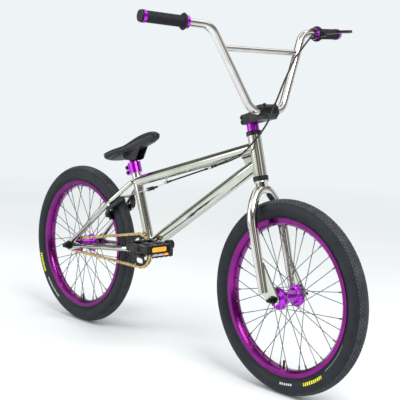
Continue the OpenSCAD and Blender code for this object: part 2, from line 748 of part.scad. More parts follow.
module bent_tube(p, rad, r_out, r_in) {
    for (i = [0 : len(p) - 2]) {
        d = unit(p[i + 1] - p[i]);
        straight(p[i] + d * trim_at(p, rad, i), p[i + 1] - d * trim_at(p, rad, i + 1), r_out, r_in);
    }
    for (i = [1 : len(p) - 2]) {
        d = unit(p[i] - p[i - 1]);
        bend(p[i] - d * trim_at(p, rad, i), d, unit(p[i + 1] - p[i]), rad[i], r_out, r_in);
    }
}

grip_dir = [-sin(back_sweep) * cos(up_sweep), cos(back_sweep) * cos(up_sweep), sin(up_sweep)];
bar_end = [0, bar_corner_y, bar_rise] + grip_dir * grip_end;
function flip(p) = [p[0], -p[1], p[2]];
bar_pts = [flip(bar_end), [0, -bar_corner_y, bar_rise], [0, -bar_foot_y, 0], [0, bar_foot_y, 0],
    [0, bar_corner_y, bar_rise], bar_end];
foot_bend_r = 44;
corner_bend_r = 50;
bar_bends = [0, corner_bend_r, foot_bend_r, foot_bend_r, corner_bend_r, 0];
bar_wall = 1.8;
riser_dir = unit([0, bar_corner_y - bar_foot_y, bar_rise]);
cross_y = bar_foot_y + (bar_corner_y - bar_foot_y) * crossbar_z / bar_rise;

module handlebar() color(steel) on_bar() bent_tube(bar_pts, bar_bends, bar_r, bar_r - bar_wall);

module crossbar() color(steel) on_bar() difference() {
    rod([0, -cross_y, crossbar_z], [0, cross_y, crossbar_z], crossbar_r);
    rod([0, -cross_y - 1, crossbar_z], [0, cross_y + 1, crossbar_z], crossbar_r - tube_wall);
    both_sides() rod([0, cross_y, crossbar_z] - 60 * riser_dir, [0, cross_y, crossbar_z] + 40 * riser_dir, bar_r);
}

// A ring round the bar, from a to b along the grip
module grip_ring(a, b, r_out) translate([0, a, 0]) rotate([-90, 0, 0]) difference() {
    cylinder(h = b - a, r = r_out);
    translate([0, 0, -1]) cylinder(h = b - a + 2, r = bar_r + run);
}

flange_w = 4;
ring_w = 8;
plug_t = 4;
module on_both_grips() {
    on_grip() children();
    mirror([0, 1, 0]) on_grip() children();
}

module grips() color(rubber) on_both_grips() {
    grip_ring(grip_s0, grip_s1, grip_r);
    grip_ring(grip_s0, grip_s0 + flange_w, 25);
}

module grip_rings() color(purple) on_both_grips() {
    grip_ring(grip_s0 - ring_w, grip_s0 - run, grip_r + 2);
    grip_ring(grip_s1 + run, grip_s1 + ring_w, grip_r + 1.6);
}

module bar_end_plugs() color(black) on_both_grips() translate([0, grip_end - 14, 0]) rotate([-90, 0, 0]) {
    cylinder(h = 14 + run, r = bar_r - bar_wall - run);
    translate([0, 0, 14 + run]) cylinder(h = plug_t, r = grip_r);
}

// ---- brake lever on the left grip ----
perch_w = 12;
perch_z = -6;
lever_pivot_r = 2.5;
lever_half_t = 3.5;
lever_y = grip_s0 - ring_w - perch_w / 2 - 0.5;
module on_lever() on_grip() translate([lever_x, lever_y, perch_z]) children();

module lever_clamp() color(black) {
    lever_bracket();
    on_lever() translate([0, 0, -7]) cylinder(h = 14, r = lever_pivot_r - run);
}

module lever_bracket() on_grip() difference() {
    union() {
        grip_ring(lever_y - perch_w / 2, lever_y + perch_w / 2, bar_r + 4.5);
        translate([bar_r + 2, lever_y - perch_w / 2, perch_z - 7]) cube([lever_x - bar_r + 4, perch_w, 14]);
    }
    translate([0, lever_y - 20, 0]) rotate([-90, 0, 0]) cylinder(h = 40, r = bar_r + run);
    translate([lever_x - 7.8, lever_y - perch_w, perch_z - lever_half_t - slip])
        cube([20.8, 2 * perch_w, 2 * (lever_half_t + slip)]);
    translate([lever_x, lever_y, perch_z - 10]) cylinder(h = 20, r = lever_pivot_r + run);
}

module lever_barrel() color(purple) on_grip() difference() {
    translate([bar_r + 13, lever_y - perch_w / 2 - 16, perch_z + 2]) rotate([-90, 0, 0]) {
        cylinder(h = 15.9, r = 3.6);
        translate([0, 0, 4]) cylinder(h = 8, r = 5);
    }
    translate([bar_r + 13, lever_y - perch_w / 2 - 20, perch_z + 2]) rotate([-90, 0, 0])
        cylinder(h = 16, r = cable_r + 0.6);
}

lever_plan = [[-5, -4], [-6, 4], [2, 14], [14, 26], [22, 46], [26, 72], [27, 93], [33, 98], [39, 94],
    [38, 72], [34, 44], [26, 20], [12, 4], [5, -5]];
module brake_lever() color(black) on_lever() {
    difference() {
        translate([0, 0, -lever_half_t]) linear_extrude(2 * lever_half_t) polygon(lever_plan);
        translate([0, 0, -10]) cylinder(h = 20, r = lever_pivot_r + run);
        for (p = [[23.5, 34], [28, 50], [31.5, 66], [33, 82]]) translate([p[0], p[1], -10])
            cylinder(h = 20, r = 3.2);
    }
}

// ---- cable ----
function path_dir(p, i) = unit(p[min(i + 1, len(p) - 1)] - p[max(i - 1, 0)]);
function side_of(d) = unit(cross(d, [0, 0.3, 1]));
module swept(p, r, n) {
    rings = [for (i = [0 : len(p) - 1], k = [0 : n - 1])
        let (d = path_dir(p, i), u = side_of(d), v = cross(d, u), a = k * 360 / n)
        p[i] + r * (cos(a) * u + sin(a) * v)];
    last = (len(p) - 1) * n;
    polyhedron(rings, concat(
        [[for (k = [0 : n - 1]) k]],
        [[for (k = [n - 1 : -1 : 0]) last + k]],
        [for (i = [0 : len(p) - 2], k = [0 : n - 1]) let (m = (k + 1) % n)
            [i * n + k, (i + 1) * n + k, (i + 1) * n + m, i * n + m]]));
}

// Points between the route's own, on a smooth curve through them
function curve_at(a, b, c, d, t) = 0.5 * ((2 * b) + (c - a) * t + (2 * a - 5 * b + 4 * c - d) * t * t
    + (3 * b - a - 3 * c + d) * t * t * t);
cable_curve = [for (i = [0 : len(cable_route) - 2], k = [0 : 2]) curve_at(cable_route[max(i - 1, 0)],
    cable_route[i], cable_route[i + 1], cable_route[min(i + 2, len(cable_route) - 1)], k / 3),
    cable_route[len(cable_route) - 1]];

arm_end_t = 283;
arm_end_y = 20;
arm_mid_w = (arm_w0 + arm_w1) / 2;
side_clear = seat_tube_r + 6;
module brake_cable() color(black) {
    swept(cable_curve, cable_r, 10);
    rod(cable_route[len(cable_route) - 1] + [-0.5, 0, 0], hanger_front + [0.5, 0, 0], wire_r);
    both_sides() swept([hanger_back + [-0.5, 3, 0], [-178, side_clear, 455],
        stay_pt(arm_end_t + 4, arm_end_y, arm_mid_w)], wire_r, 8);
}

// ---- rear brake ----
module on_stay() translate([rear_x, 0, axle_z]) rotate([0, -stay_angle, 0]) children();
pad_y0 = rim_w / 2 + pad_gap;
pad_y1 = pad_y0 + 8.5;
pad_t = bead_r - 4;
module brake_arm() on_stay() {
    difference() {
        translate([0, 0, -arm_w1]) linear_extrude(arm_t) polygon([[pad_t - 6, pad_y1], [pad_t + 6, pad_y1],
            [pivot_t - 22, 30], [pivot_t - 6, pivot_y - 8], [pivot_t + 12, pivot_y - 8],
            [arm_end_t - 17, 20], [arm_end_t - 6, arm_end_y - 6], [arm_end_t + 4, arm_end_y - 6],
            [arm_end_t + 6, arm_end_y + 4], [pivot_t + 28, pivot_y - 2], [pivot_t + 8, pivot_y + 9],
            [pivot_t - 8, pivot_y + 9], [pivot_t - 24, pivot_y + 2], [pad_t - 4, pad_y1 + 9],
            [pad_t - 6, pad_y1 + 7]]);
        translate([pivot_t, pivot_y, -arm_w1 - 1]) cylinder(h = arm_t + 2, r = pivot_r + run);
        translate([arm_end_t - 10, arm_end_y, -arm_mid_w]) rotate([0, 90, 0]) cylinder(h = 30, r = wire_r + slip);
    }
    translate([pad_t - 4.5, pad_y0, -arm_mid_w - 16]) cube([9, pad_y1 - pad_y0 - run, 32]);
}

module brake_arm_left() color(black) brake_arm();
module brake_arm_right() color(black) mirror([0, 1, 0]) brake_arm();

hanger_tilt = atan2(hanger_front[2] - hanger_back[2], hanger_front[0] - hanger_back[0]);
hanger_len = norm(hanger_front - hanger_back);
module brake_hanger() color(black) translate(hanger_back) rotate([0, -hanger_tilt, 0]) difference() {
    union() {
        translate([0, -5, -5]) cube([hanger_len * 0.6, 10, 10]);
        translate([hanger_len * 0.5, 0, 0]) rotate([0, 90, 0]) cylinder(h = hanger_len * 0.5, r = 3.2);
        translate([hanger_len * 0.42, 9, 0]) rotate([90, 0, 0]) cylinder(h = 18, r = 3.6);
    }
    translate([-1, -6, -1.5]) cube([hanger_len * 0.22, 12, 3]);
    translate([-1, -3, 0]) rotate([0, 90, 0]) cylinder(h = 6, r = 1.2);
    translate([-1, 3, 0]) rotate([0, 90, 0]) cylinder(h = 6, r = 1.2);
    translate([hanger_len - 6, 0, 0]) rotate([0, 90, 0]) cylinder(h = 10, r = wire_r + slip);
}

// ---- bottom bracket and cranks ----
boss_y0 = bb_half_w + 13.5;
boss_t = 18;
spindle_half = boss_y0 + boss_t - 3;
module bb_bearings() color(silver) both_sides()
    ring_on_y(bb_x, bb_z, bb_half_w - bearing_w, bb_half_w, bb_bore - run, spindle_r + run);

module crank_spindle() color(black) {
    difference() {
        on_y(bb_x, bb_z, -spindle_half) cylinder(h = 2 * spindle_half, r = spindle_r);
        on_y(bb_x, bb_z, -spindle_half - 1) cylinder(h = 2 * spindle_half + 2, r = 5 + run);
    }
    both_sides() {
        on_y(bb_x, bb_z, spindle_half - 20) cylinder(h = 20, r = 5);
        on_y(bb_x, bb_z, spindle_half + run) cylinder(h = 5, r = 10);
        on_y(bb_x, bb_z, spindle_half - 0.5) cylinder(h = 1, r = 4.9);
    }
    ring_on_y(bb_x, bb_z, bb_half_w + 0.6, boss_y0 - run, spindle_r + 3, spindle_r + run);
}

pedal_boss_y0 = boss_y0 + 12;
pedal_r = 7;
// The left crank; the right one is this turned half a turn and mirrored
module crank_at(a) translate([bb_x, 0, bb_z]) rotate([0, -a, 0]) children();
arm_y = boss_y0 + 9;
pedal_boss_y = pedal_boss_y0 + 9;
module crank(a) difference() {
    union() {
        on_crank_boss(a);
        rod(crank_pt(a, 4, arm_y + 0.4), crank_pt(a, crank_len - 2, pedal_boss_y), 10);
        crank_at(a) translate([crank_len, pedal_boss_y0, 0]) rotate([-90, 0, 0]) cylinder(h = boss_t, r = 13.5);
    }
    crank_at(a) translate([0, 0, 0]) rotate([-90, 0, 0]) cylinder(h = spindle_half + run, r = spindle_r + run);
    crank_at(a) rotate([-90, 0, 0]) cylinder(h = 120, r = 5.4);
    crank_at(a) translate([0, spindle_half, 0]) rotate([-90, 0, 0]) cylinder(h = 120, r = 10.4);
    crank_at(a) translate([crank_len, 0, 0]) rotate([-90, 0, 0]) cylinder(h = 150, r = pedal_r + run);
}
module on_crank_boss(a) crank_at(a) translate([0, boss_y0, 0]) rotate([-90, 0, 0]) cylinder(h = boss_t, r = 17);
function crank_pt(a, d, y) = [bb_x + d * cos(a), y, bb_z + d * sin(a)];

module crank_arms() color(black) {
    crank(crank_angle + 180);
    mirror([0, 1, 0]) crank(crank_angle);
}

// ---- sprocket, chain and cog ----
chain_half = 1.5;
tooth_h = 3.4;
plate_r = 4.2;
bush_r = 1.9;
function tooth_pts(n, pr, phase) = [for (k = [0 : n - 1], q = [[-0.5, -roller_r - 0.4, 0], [0, -1.5, -2.6],
    [0, tooth_h - 1, -1.9], [0, tooth_h, -0.8], [0, tooth_h, 0.8], [0, tooth_h - 1, 1.9], [0, -1.5, 2.6]])
    let (a = phase + (k + 0.5 + q[0]) * 360 / n + q[2] / (pr + q[1]) * 180 / PI)
    (pr + q[1]) * [cos(a), sin(a)]];

module toothed(x, z, n, pr, phase) translate([x, chain_half - chain_y, z]) rotate([90, 0, 0])
    difference() {
        linear_extrude(2 * chain_half) polygon(tooth_pts(n, pr, phase));
        for (k = [0 : n - 1]) translate([pr * cos(phase + k * 360 / n), pr * sin(phase + k * 360 / n), -1])
            cylinder(h = 2 * chain_half + 2, r = roller_r + 0.15);
    }

top_a = stay_slope + 90 + wrap_a;
low_a = stay_slope - 90 - wrap_a;
sprocket_step = 360 / sprocket_teeth;
cog_step = 360 / cog_teeth;
wrap_1 = (180 + 2 * wrap_a) / sprocket_step;
run_1 = stay_len * cos(wrap_a) / pitch;
wrap_2 = (180 - 2 * wrap_a) / cog_step;
function around(x, z, r, a) = [x + r * cos(a), z + r * sin(a)];
function chain_pt(u) = u <= wrap_1 ? around(bb_x, bb_z, sprocket_pr, top_a - u * sprocket_step)
    : u <= wrap_1 + run_1 ? let (t = (u - wrap_1) / run_1)
        around(bb_x, bb_z, sprocket_pr, low_a) * (1 - t) + around(rear_x, axle_z, cog_pr, low_a) * t
    : u <= wrap_1 + run_1 + wrap_2 ? around(rear_x, axle_z, cog_pr, low_a - (u - wrap_1 - run_1) * cog_step)
    : let (t = (u - wrap_1 - run_1 - wrap_2) / run_1)
        around(rear_x, axle_z, cog_pr, top_a) * (1 - t) + around(bb_x, bb_z, sprocket_pr, top_a) * t;

// One link: its two plates, and its rollers or its pins
module link_plate(d, y0, t) translate([0, y0, 0]) {
    for (x = [0, d]) translate([x, 0, 0]) rotate([-90, 0, 0]) cylinder(h = t, r = plate_r);
    translate([0, 0, -2.9]) cube([d, t, 5.8]);
}

module inner_link(d) difference() {
    union() {
        for (y = [-2.95, 1.75]) link_plate(d, y, 1.2);
        for (x = [0, d]) translate([x, -2, 0]) rotate([-90, 0, 0]) cylinder(h = 4, r = roller_r);
    }
    for (x = [0, d]) translate([x, -5, 0]) rotate([-90, 0, 0]) cylinder(h = 10, r = bush_r);
}

module outer_link(d) {
    for (y = [-4.3, 3.1]) link_plate(d, y, 1.2);
    for (x = [0, d]) translate([x, -4.8, 0]) rotate([-90, 0, 0]) cylinder(h = 9.6, r = bush_r - 0.1);
}

module chain() color(gold) for (u = [0 : chain_links - 1]) {
    a = chain_pt(u);
    b = chain_pt((u + 1) % chain_links);
    translate([a[0], -chain_y, a[1]]) rotate([0, -atan2(b[1] - a[1], b[0] - a[0]), 0])
        if (u % 2 == 0) inner_link(norm(b - a)); else outer_link(norm(b - a));
}

window_mid = sprocket_pr - 20;
window_half = 8;
window_r = 7.8;
module sprocket() color(black) difference() {
    union() {
        toothed(bb_x, bb_z, sprocket_teeth, sprocket_pr, top_a);
        ring_on_y(bb_x, bb_z, run - boss_y0, -bb_half_w - 0.6, spindle_r + 4, spindle_r + run);
    }
    for (k = [0 : 4]) translate([bb_x, -chain_y, bb_z]) rotate([0, -crank_angle - 36 - k * 72, 0]) {
        for (z = [-window_half, window_half]) translate([window_mid, -4, z]) rotate([-90, 0, 0])
            cylinder(h = 8, r = window_r);
        translate([window_mid - window_r, -4, -window_half]) cube([2 * window_r, 8, 2 * window_half]);
    }
    on_y(bb_x, bb_z, -boss_y0 - 2) cylinder(h = 30, r = spindle_r + run);
}

module driver_cog() color(black) difference() {
    union() {
        toothed(rear_x, axle_z, cog_teeth, cog_pr, low_a + (wrap_1 + run_1) * cog_step);
        ring_on_y(rear_x, axle_z, -driver_y1, -rear_end_right - slip, cog_pr - roller_r - 1.6, rear_axle_r + run);
    }
    on_y(rear_x, axle_z, -driver_y1 - 2) cylinder(h = 30, r = rear_axle_r + run);
}

// ---- pedals ----
pedal_y0 = pedal_boss_y0 + boss_t + 16;
pedal_y1 = pedal_y0 + pedal_w;
pedal_shaft_r = 6;
function pedal_x(side) = bb_x + side * crank_len * cos(crank_angle);
function pedal_z(side) = bb_z + side * crank_len * sin(crank_angle);

module pedal_spindle(side) {
    x = pedal_x(side);
    z = pedal_z(side);
    on_y(x, z, pedal_boss_y0 + 2) cylinder(h = boss_t - 2, r = pedal_r);
    on_y(x, z, pedal_boss_y0 + boss_t + run) cylinder(h = 5, r = 9.5);
    on_y(x, z, pedal_boss_y0 + boss_t - 1) cylinder(h = pedal_y1 - pedal_boss_y0 - boss_t - 5, r = pedal_shaft_r);
}

module pedal_spindles() color(dark_steel) {
    pedal_spindle(-1);
    mirror([0, 1, 0]) pedal_spindle(1);
}

bar_w = 9;
reflector_t = 3;
module pedal(x, z) translate([x, pedal_y0, z]) {
    half_l = pedal_l / 2;
    difference() {
        union() {
            for (sx = [-1, 1]) translate([sx * (half_l - bar_w / 2) - bar_w / 2, 6, -pedal_t / 2])
                cube([bar_w, pedal_w - 12, pedal_t]);
            for (y = [6, pedal_w / 2 - 5, pedal_w - 16]) translate([bar_w - half_l, y, -pedal_t / 2 + 2])
                cube([pedal_l - 2 * bar_w, 10, pedal_t - 4]);
            rotate([-90, 0, 0]) cylinder(h = pedal_w, r = 11.5);
        }
        translate([0, -1, 0]) rotate([-90, 0, 0]) cylinder(h = pedal_w - 4, r = pedal_shaft_r + run);
        for (sx = [-1, 1]) translate([sx * half_l, pedal_w / 2, 0])
            cube([2 * reflector_t + 0.1, 64, 17.1], center = true);
    }
    for (sx = [-1, 1]) translate([sx * (half_l - reflector_t / 2), pedal_w / 2, 0])
        cube([reflector_t, 63.9, 17], center = true);
    for (sx = [-1, 1], sz = [-1, 1], y = [12, 30, 50, 70, 88])
        translate([sx * (half_l - bar_w / 2), y * pedal_w / 100, sz * (pedal_t / 2 + 1.5)])
            cylinder(h = 3, r = 2, center = true);
}

module right_pedal() color(black) mirror([0, 1, 0]) pedal(pedal_x(1), pedal_z(1));
module left_pedal() color(black) pedal(pedal_x(-1), pedal_z(-1));

// ---- seat ----
clamp_r = seat_tube_r + 5.5;
clamp_split = seat_tube_len + 0.5;
ear_x = clamp_r + 9;
module seat_clamp() color(purple) on_seat_tube() difference() {
    union() {
        translate([0, 0, clamp_s0]) cylinder(h = clamp_h, r = clamp_r);
        for (s = [clamp_s0 + 1.5, clamp_s0 + 17.5]) translate([-ear_x - 5, -8, s])
            cube([ear_x, 16, 14]);
    }
    translate([0, 0, clamp_s0 - 1]) cylinder(h = clamp_split - clamp_s0 + 1, r = seat_tube_r + run);
    translate([0, 0, clamp_s0]) cylinder(h = clamp_h + 1, r = post_r + run);
    translate([-ear_x - 6, -1, clamp_s0 - 1]) cube([ear_x, 2, clamp_h + 2]);
    for (s = [clamp_s0 + 8.5, clamp_s0 + 24.5]) translate([-ear_x, -20, s])
        rotate([-90, 0, 0]) cylinder(h = 40, r = 2.5 + run);
}

module seat_clamp_bolts() color(dark_steel) on_seat_tube()
    for (s = [clamp_s0 + 8.5, clamp_s0 + 24.5]) translate([-ear_x, -11, s]) rotate([-90, 0, 0]) {
        cylinder(h = 19, r = 2.5);
        cylinder(h = 2.95, r = 4.5);
    }

head_half = post_r;
knuckle_r = 10;
module seat_post() color(black) on_seat_tube() difference() {
    union() {
        translate([0, 0, post_head - 8 - post_len]) cylinder(h = post_len, r = post_r);
        translate([0, 0, post_head - 10]) cylinder(h = 10, r = 9.4);
        translate([0, -head_half, post_head]) rotate([-90, 0, 0]) cylinder(h = 2 * head_half, r = knuckle_r);
    }
    translate([0, 0, post_head - 9 - post_len]) cylinder(h = post_len - 20, r = post_r - 2);
    translate([0, -20, post_head]) rotate([-90, 0, 0]) cylinder(h = 40, r = 3 + run);
}

// The saddle's frame: its origin is the tilt pivot, +X towards the nose
module on_saddle() translate(seat_pt(post_head)) rotate([0, -saddle_tilt, 0]) children();
module saddle_side(half) rotate([90, 0, 0]) translate([0, 0, -half]) linear_extrude(2 * half) children();
module saddle_plan(inset) translate([0, 0, -60]) linear_extrude(140) polygon([for (p = saddle_edge)
    [p[0] - sign(p[0] - 20) * inset, p[1] > 0 ? p[1] - inset : p[1] + inset]]);
saddle_half = [[135, 6], [128, 14], [108, 19], [70, 20], [35, 25], [0, 37], [-30, 53], [-55, 61], [-72, 58], [-83, 40]];
saddle_edge = concat(saddle_half, [for (i = [len(saddle_half) - 1 : -1 : 0]) [saddle_half[i][0], -saddle_half[i][1]]]);

module saddle_pad() color(black) on_saddle() intersection() {
    saddle_side(70) polygon([[135, 23], [122, 38], [108, 43], [80, 44.5], [53, 44], [13, 37], [-15, 31],
        [-47, 30], [-75, 27], [-86, 18], [-80, 10], [-61, 9], [-20, 14.6], [20, 14.6], [103, 18.6], [128, 19]]);
    saddle_plan(0);
}

module saddle_base() color(black) on_saddle() {
    difference() {
        union() {
            intersection() {
                saddle_side(70) polygon([[-62, 8], [-20, 14], [20, 14], [104, 18], [120, 18.2], [104, 14], [56, 11],
                    [18, 10.6], [-18, 10.6], [-58, 5]]);
                saddle_plan(5);
            }
            both_sides() translate([0, head_half + slip, 0]) rotate([90, 0, 0]) translate([0, 0, -4])
                linear_extrude(4) polygon([[60, 11.5], [29, -19], [12, -19], [-15, -10], [-32, 11.5], [-18, 11], [18, 11]]);
        }
        translate([0, -30, 0]) rotate([-90, 0, 0]) cylinder(h = 60, r = 3 + run);
    }
    translate([0, -head_half - 4.5, 0]) rotate([-90, 0, 0]) cylinder(h = 2 * head_half + 9, r = 3);
}

head_tube();
top_tube();
down_tube();
seat_tube();
bb_shell();
chain_stays();
seat_stays();
rear_dropouts();
frame_fittings();
headset_cups();
headset_bearings();
bb_bearings();
seat_clamp();
seat_clamp_bolts();
rear_axle();
rear_axle_nuts();
chain();
brake_cable();
fork_steerer();
fork_blades();
fork_dropouts();
headset_spacer();
stem_body();
stem_cap();
stem_bolts();
handlebar();
crossbar();
grips();
grip_rings();
bar_end_plugs();
lever_clamp();
lever_barrel();
front_axle();
front_axle_nuts();
front_tyre();
front_tube();
front_rim();
front_spokes();
front_hub();
front_bearings();
rear_tyre();
rear_tube();
rear_rim();
rear_spokes();
rear_hub();
rear_bearings();
driver_cog();
crank_spindle();
crank_arms();
sprocket();
pedal_spindles();
right_pedal();
left_pedal();
brake_lever();
brake_arm_left();
brake_arm_right();
brake_hanger();
seat_post();
saddle_base();
saddle_pad();
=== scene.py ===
import json
import bpy
import bmesh
import numpy as np
from mathutils import Matrix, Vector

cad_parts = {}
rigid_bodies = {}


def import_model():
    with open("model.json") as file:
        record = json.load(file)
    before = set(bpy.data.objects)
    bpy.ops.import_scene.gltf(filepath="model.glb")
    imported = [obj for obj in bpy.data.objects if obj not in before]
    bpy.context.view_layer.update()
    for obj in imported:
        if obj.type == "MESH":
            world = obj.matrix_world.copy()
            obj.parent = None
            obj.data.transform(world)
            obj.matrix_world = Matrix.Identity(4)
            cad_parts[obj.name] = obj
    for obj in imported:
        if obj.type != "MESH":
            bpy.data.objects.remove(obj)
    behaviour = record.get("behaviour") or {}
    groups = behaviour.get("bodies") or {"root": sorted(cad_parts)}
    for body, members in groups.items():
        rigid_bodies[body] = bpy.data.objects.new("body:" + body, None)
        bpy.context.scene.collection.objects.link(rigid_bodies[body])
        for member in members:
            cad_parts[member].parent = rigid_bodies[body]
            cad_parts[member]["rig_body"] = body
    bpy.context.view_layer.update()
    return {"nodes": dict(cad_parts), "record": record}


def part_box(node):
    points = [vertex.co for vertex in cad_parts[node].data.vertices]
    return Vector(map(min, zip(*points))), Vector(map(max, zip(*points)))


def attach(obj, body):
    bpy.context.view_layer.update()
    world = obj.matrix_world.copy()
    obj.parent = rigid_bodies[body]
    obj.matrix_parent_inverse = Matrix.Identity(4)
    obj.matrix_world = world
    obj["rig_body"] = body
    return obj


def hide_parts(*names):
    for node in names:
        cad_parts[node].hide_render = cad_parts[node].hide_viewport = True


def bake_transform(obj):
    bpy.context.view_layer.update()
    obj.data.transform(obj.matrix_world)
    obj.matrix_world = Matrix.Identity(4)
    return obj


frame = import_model()

HUB_Z = 0.257                                        # height of both axles
HUB_X = {"front": 0.453, "rear": -0.453}
FOOT = np.array([0.42416, 0.0, 0.24873])             # foot of the steering axis
LEAN = np.radians(74)                                # head angle


# ---- placing ----
def turn(axis, degrees):
    """Rotation matrix about x, y or z."""
    return np.array(Matrix.Rotation(np.radians(degrees), 3, axis))


def placed(points, *steps):
    """Each step is (rotation or None, shift), applied last to first as nested frames are."""
    for rotation, shift in reversed(steps):
        if rotation is not None:
            points = points @ rotation.T
        points = points + np.asarray(shift)
    return points


ON_STEERER = (turn("Y", 74 - 90), FOOT)
ON_BAR = (turn("Y", 4.5), (0.058, 0, 0.489))
ON_GRIP = (turn("Z", 10.5) @ turn("X", 5), (0, 0.172, 0.216))
SEAT_HEAD = np.array([-0.10712 - 0.296 * np.cos(np.radians(69)), 0, 0.293 + 0.296 * np.sin(np.radians(69))])
ON_SADDLE = (turn("Y", -20), SEAT_HEAD)


# ---- meshes ----
def grid_mesh(name, grid, round_u=False, round_v=False, caps=False, uv=True):
    """Mesh of a (u, v, 3) grid: one quad per cell, rows joined end to end where round,
    ends closed by a fan where capped."""
    nu, nv = grid.shape[:2]
    ids = np.arange(nu * nv).reshape(nu, nv)
    wide = np.concatenate([ids, ids[:1]]) if round_u else ids
    wide = np.concatenate([wide, wide[:, :1]], axis=1) if round_v else wide
    quads = np.stack([wide[:-1, :-1], wide[1:, :-1], wide[1:, 1:], wide[:-1, 1:]], -1).reshape(-1, 4)
    points = grid.reshape(-1, 3)
    loops, starts = quads.ravel(), np.arange(len(quads)) * 4
    totals = np.full(len(quads), 4)
    cu, cv = wide.shape[0] - 1, wide.shape[1] - 1
    a, b = np.meshgrid(np.arange(cu), np.arange(cv), indexing="ij")
    corners = np.stack([np.stack([a + i, b + j], -1) for i, j in ((0, 0), (1, 0), (1, 1), (0, 1))], 2)
    uvs = corners.reshape(-1, 2) / np.array([cu, cv])
    if caps:
        middle = np.stack([grid[0].mean(0), grid[-1].mean(0)])
        points = np.concatenate([points, middle])
        first, last = ids[0], ids[-1]
        fan0 = np.stack([first, np.roll(first, -1), np.full(nv, nu * nv)], -1)
        fan1 = np.stack([np.roll(last, -1), last, np.full(nv, nu * nv + 1)], -1)
        fans = np.concatenate([fan0, fan1])
        starts = np.concatenate([starts, len(loops) + np.arange(len(fans)) * 3])
        totals = np.concatenate([totals, np.full(len(fans), 3)])
        loops = np.concatenate([loops, fans.ravel()])
        uvs = np.concatenate([uvs, np.full((fans.size, 2), 0.5)])
    mesh = bpy.data.meshes.new(name)
    mesh.vertices.add(len(points))
    mesh.vertices.foreach_set("co", points.ravel().astype(np.float32))
    mesh.loops.add(len(loops))
    mesh.loops.foreach_set("vertex_index", loops.astype(np.int32))
    mesh.polygons.add(len(starts))
    mesh.polygons.foreach_set("loop_start", starts.astype(np.int32))
    mesh.polygons.foreach_set("loop_total", totals.astype(np.int32))
    mesh.update(calc_edges=True)
    mesh.validate()
    if uv:
        layer = mesh.uv_layers.new(name="UVMap")
        layer.data.foreach_set("uv", uvs.ravel().astype(np.float32))
    return mesh


def face_outward(mesh):
    """Turns every face outwards."""
    bm = bmesh.new()
    bm.from_mesh(mesh)
    bmesh.ops.recalc_face_normals(bm, faces=bm.faces)
    bm.to_mesh(mesh)
    bm.free()


def add_piece(name, mesh, body, finish, smooth=True):
    """Object of a mesh that is already in place: one finish, riding on a body."""
    face_outward(mesh)
    if smooth:
        mesh.shade_smooth()
    piece = bpy.data.objects.new(name, mesh)
    bpy.context.scene.collection.objects.link(piece)
    mesh.materials.append(finish)
    if body:
        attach(piece, body)
    return piece


def tube_grid(path, radius, sides, hint=(0.02, 0.29, 1.0)):
    """Circle of the given radius carried along a path, square to it: centre + r (cos a side + sin a up)."""
    path = np.asarray(path, float)
    along = np.gradient(path, axis=0)
    along /= np.linalg.norm(along, axis=1)[:, None]
    side = np.cross(along, hint)
    side /= np.linalg.norm(side, axis=1)[:, None]
    up = np.cross(side, along)
    a = np.arange(sides) * 2 * np.pi / sides
    r = np.broadcast_to(radius, len(path))[:, None, None]
    ring = side[:, None] * np.cos(a)[:, None] + up[:, None] * np.sin(a)[:, None]
    return path[:, None] + r * ring


def lathe_grid(along, radius, turns):
    """Profile turned about local y: (r sin a, y, r cos a)."""
    a = np.arange(turns) * 2 * np.pi / turns
    along, radius = np.asarray(along, float), np.asarray(radius, float)
    flat = np.ones_like(a)
    return np.stack([radius[:, None] * np.sin(a), along[:, None] * flat, radius[:, None] * np.cos(a)], -1)


# ---- finishes ----
def link(tree, a, out, b, into):
    tree.links.new(a.outputs[out], b.inputs[into])


def node(tree, kind, **values):
    """Shader node with its settings and socket values."""
    made = tree.nodes.new("ShaderNode" + kind)
    for key, value in values.items():
        socket = key.replace("_", " ")
        if socket in made.inputs:
            made.inputs[socket].default_value = value
        else:
            setattr(made, key, value)
    return made


def ramp(tree, *stops):
    """Colour ramp of (place, colour or grey) stops."""
    made = tree.nodes.new("ShaderNodeValToRGB")
    made.color_ramp.elements[0].position = stops[0][0]
    made.color_ramp.elements[1].position = stops[-1][0]
    for place, _ in stops[1:-1]:
        made.color_ramp.elements.new(place)
    for element, (_, tone) in zip(made.color_ramp.elements, stops):
        element.color = (*tone, 1) if isinstance(tone, tuple) else (tone, tone, tone, 1)
    return made


def base_finish(name, colour, metal=0.0, coat=0.0, coat_rough=0.1, level=0.5):
    """Principled surface reading Object coordinates, with its constants on its own sockets."""
    finish = bpy.data.materials.new(name)
    finish.use_nodes = True
    tree = finish.node_tree
    shader = tree.nodes["Principled BSDF"]
    shader.inputs["Base Color"].default_value = (*colour, 1)
    shader.inputs["Metallic"].default_value = metal
    shader.inputs["Coat Weight"].default_value = coat
    shader.inputs["Coat Roughness"].default_value = coat_rough
    shader.inputs["Specular IOR Level"].default_value = level
    where = tree.nodes.new("ShaderNodeTexCoord")
    return finish, tree, shader, where


def grain(tree, where, scale, detail=3.0, out="Object"):
    """Noise over the surface, with scale in waves a metre."""
    made = node(tree, "TexNoise", Scale=scale, Detail=detail)
    link(tree, where, out, made, "Vector")
    return made


def vary(tree, source, shader, low, high, into="Roughness"):
    """Sends a 0 to 1 pattern to a socket, between low and high."""
    spread = node(tree, "MapRange", To_Min=low, To_Max=high)
    tree.links.new(source.outputs[0], spread.inputs["Value"])
    tree.links.new(spread.outputs["Result"], shader.inputs[into])


def bumpy(tree, source, shader, distance, strength=1.0):
    """Raises the surface by a pattern, by a distance in metres."""
    made = node(tree, "Bump", Strength=strength, Distance=distance)
    tree.links.new(source.outputs[0], made.inputs["Height"])
    tree.links.new(made.outputs["Normal"], shader.inputs["Normal"])


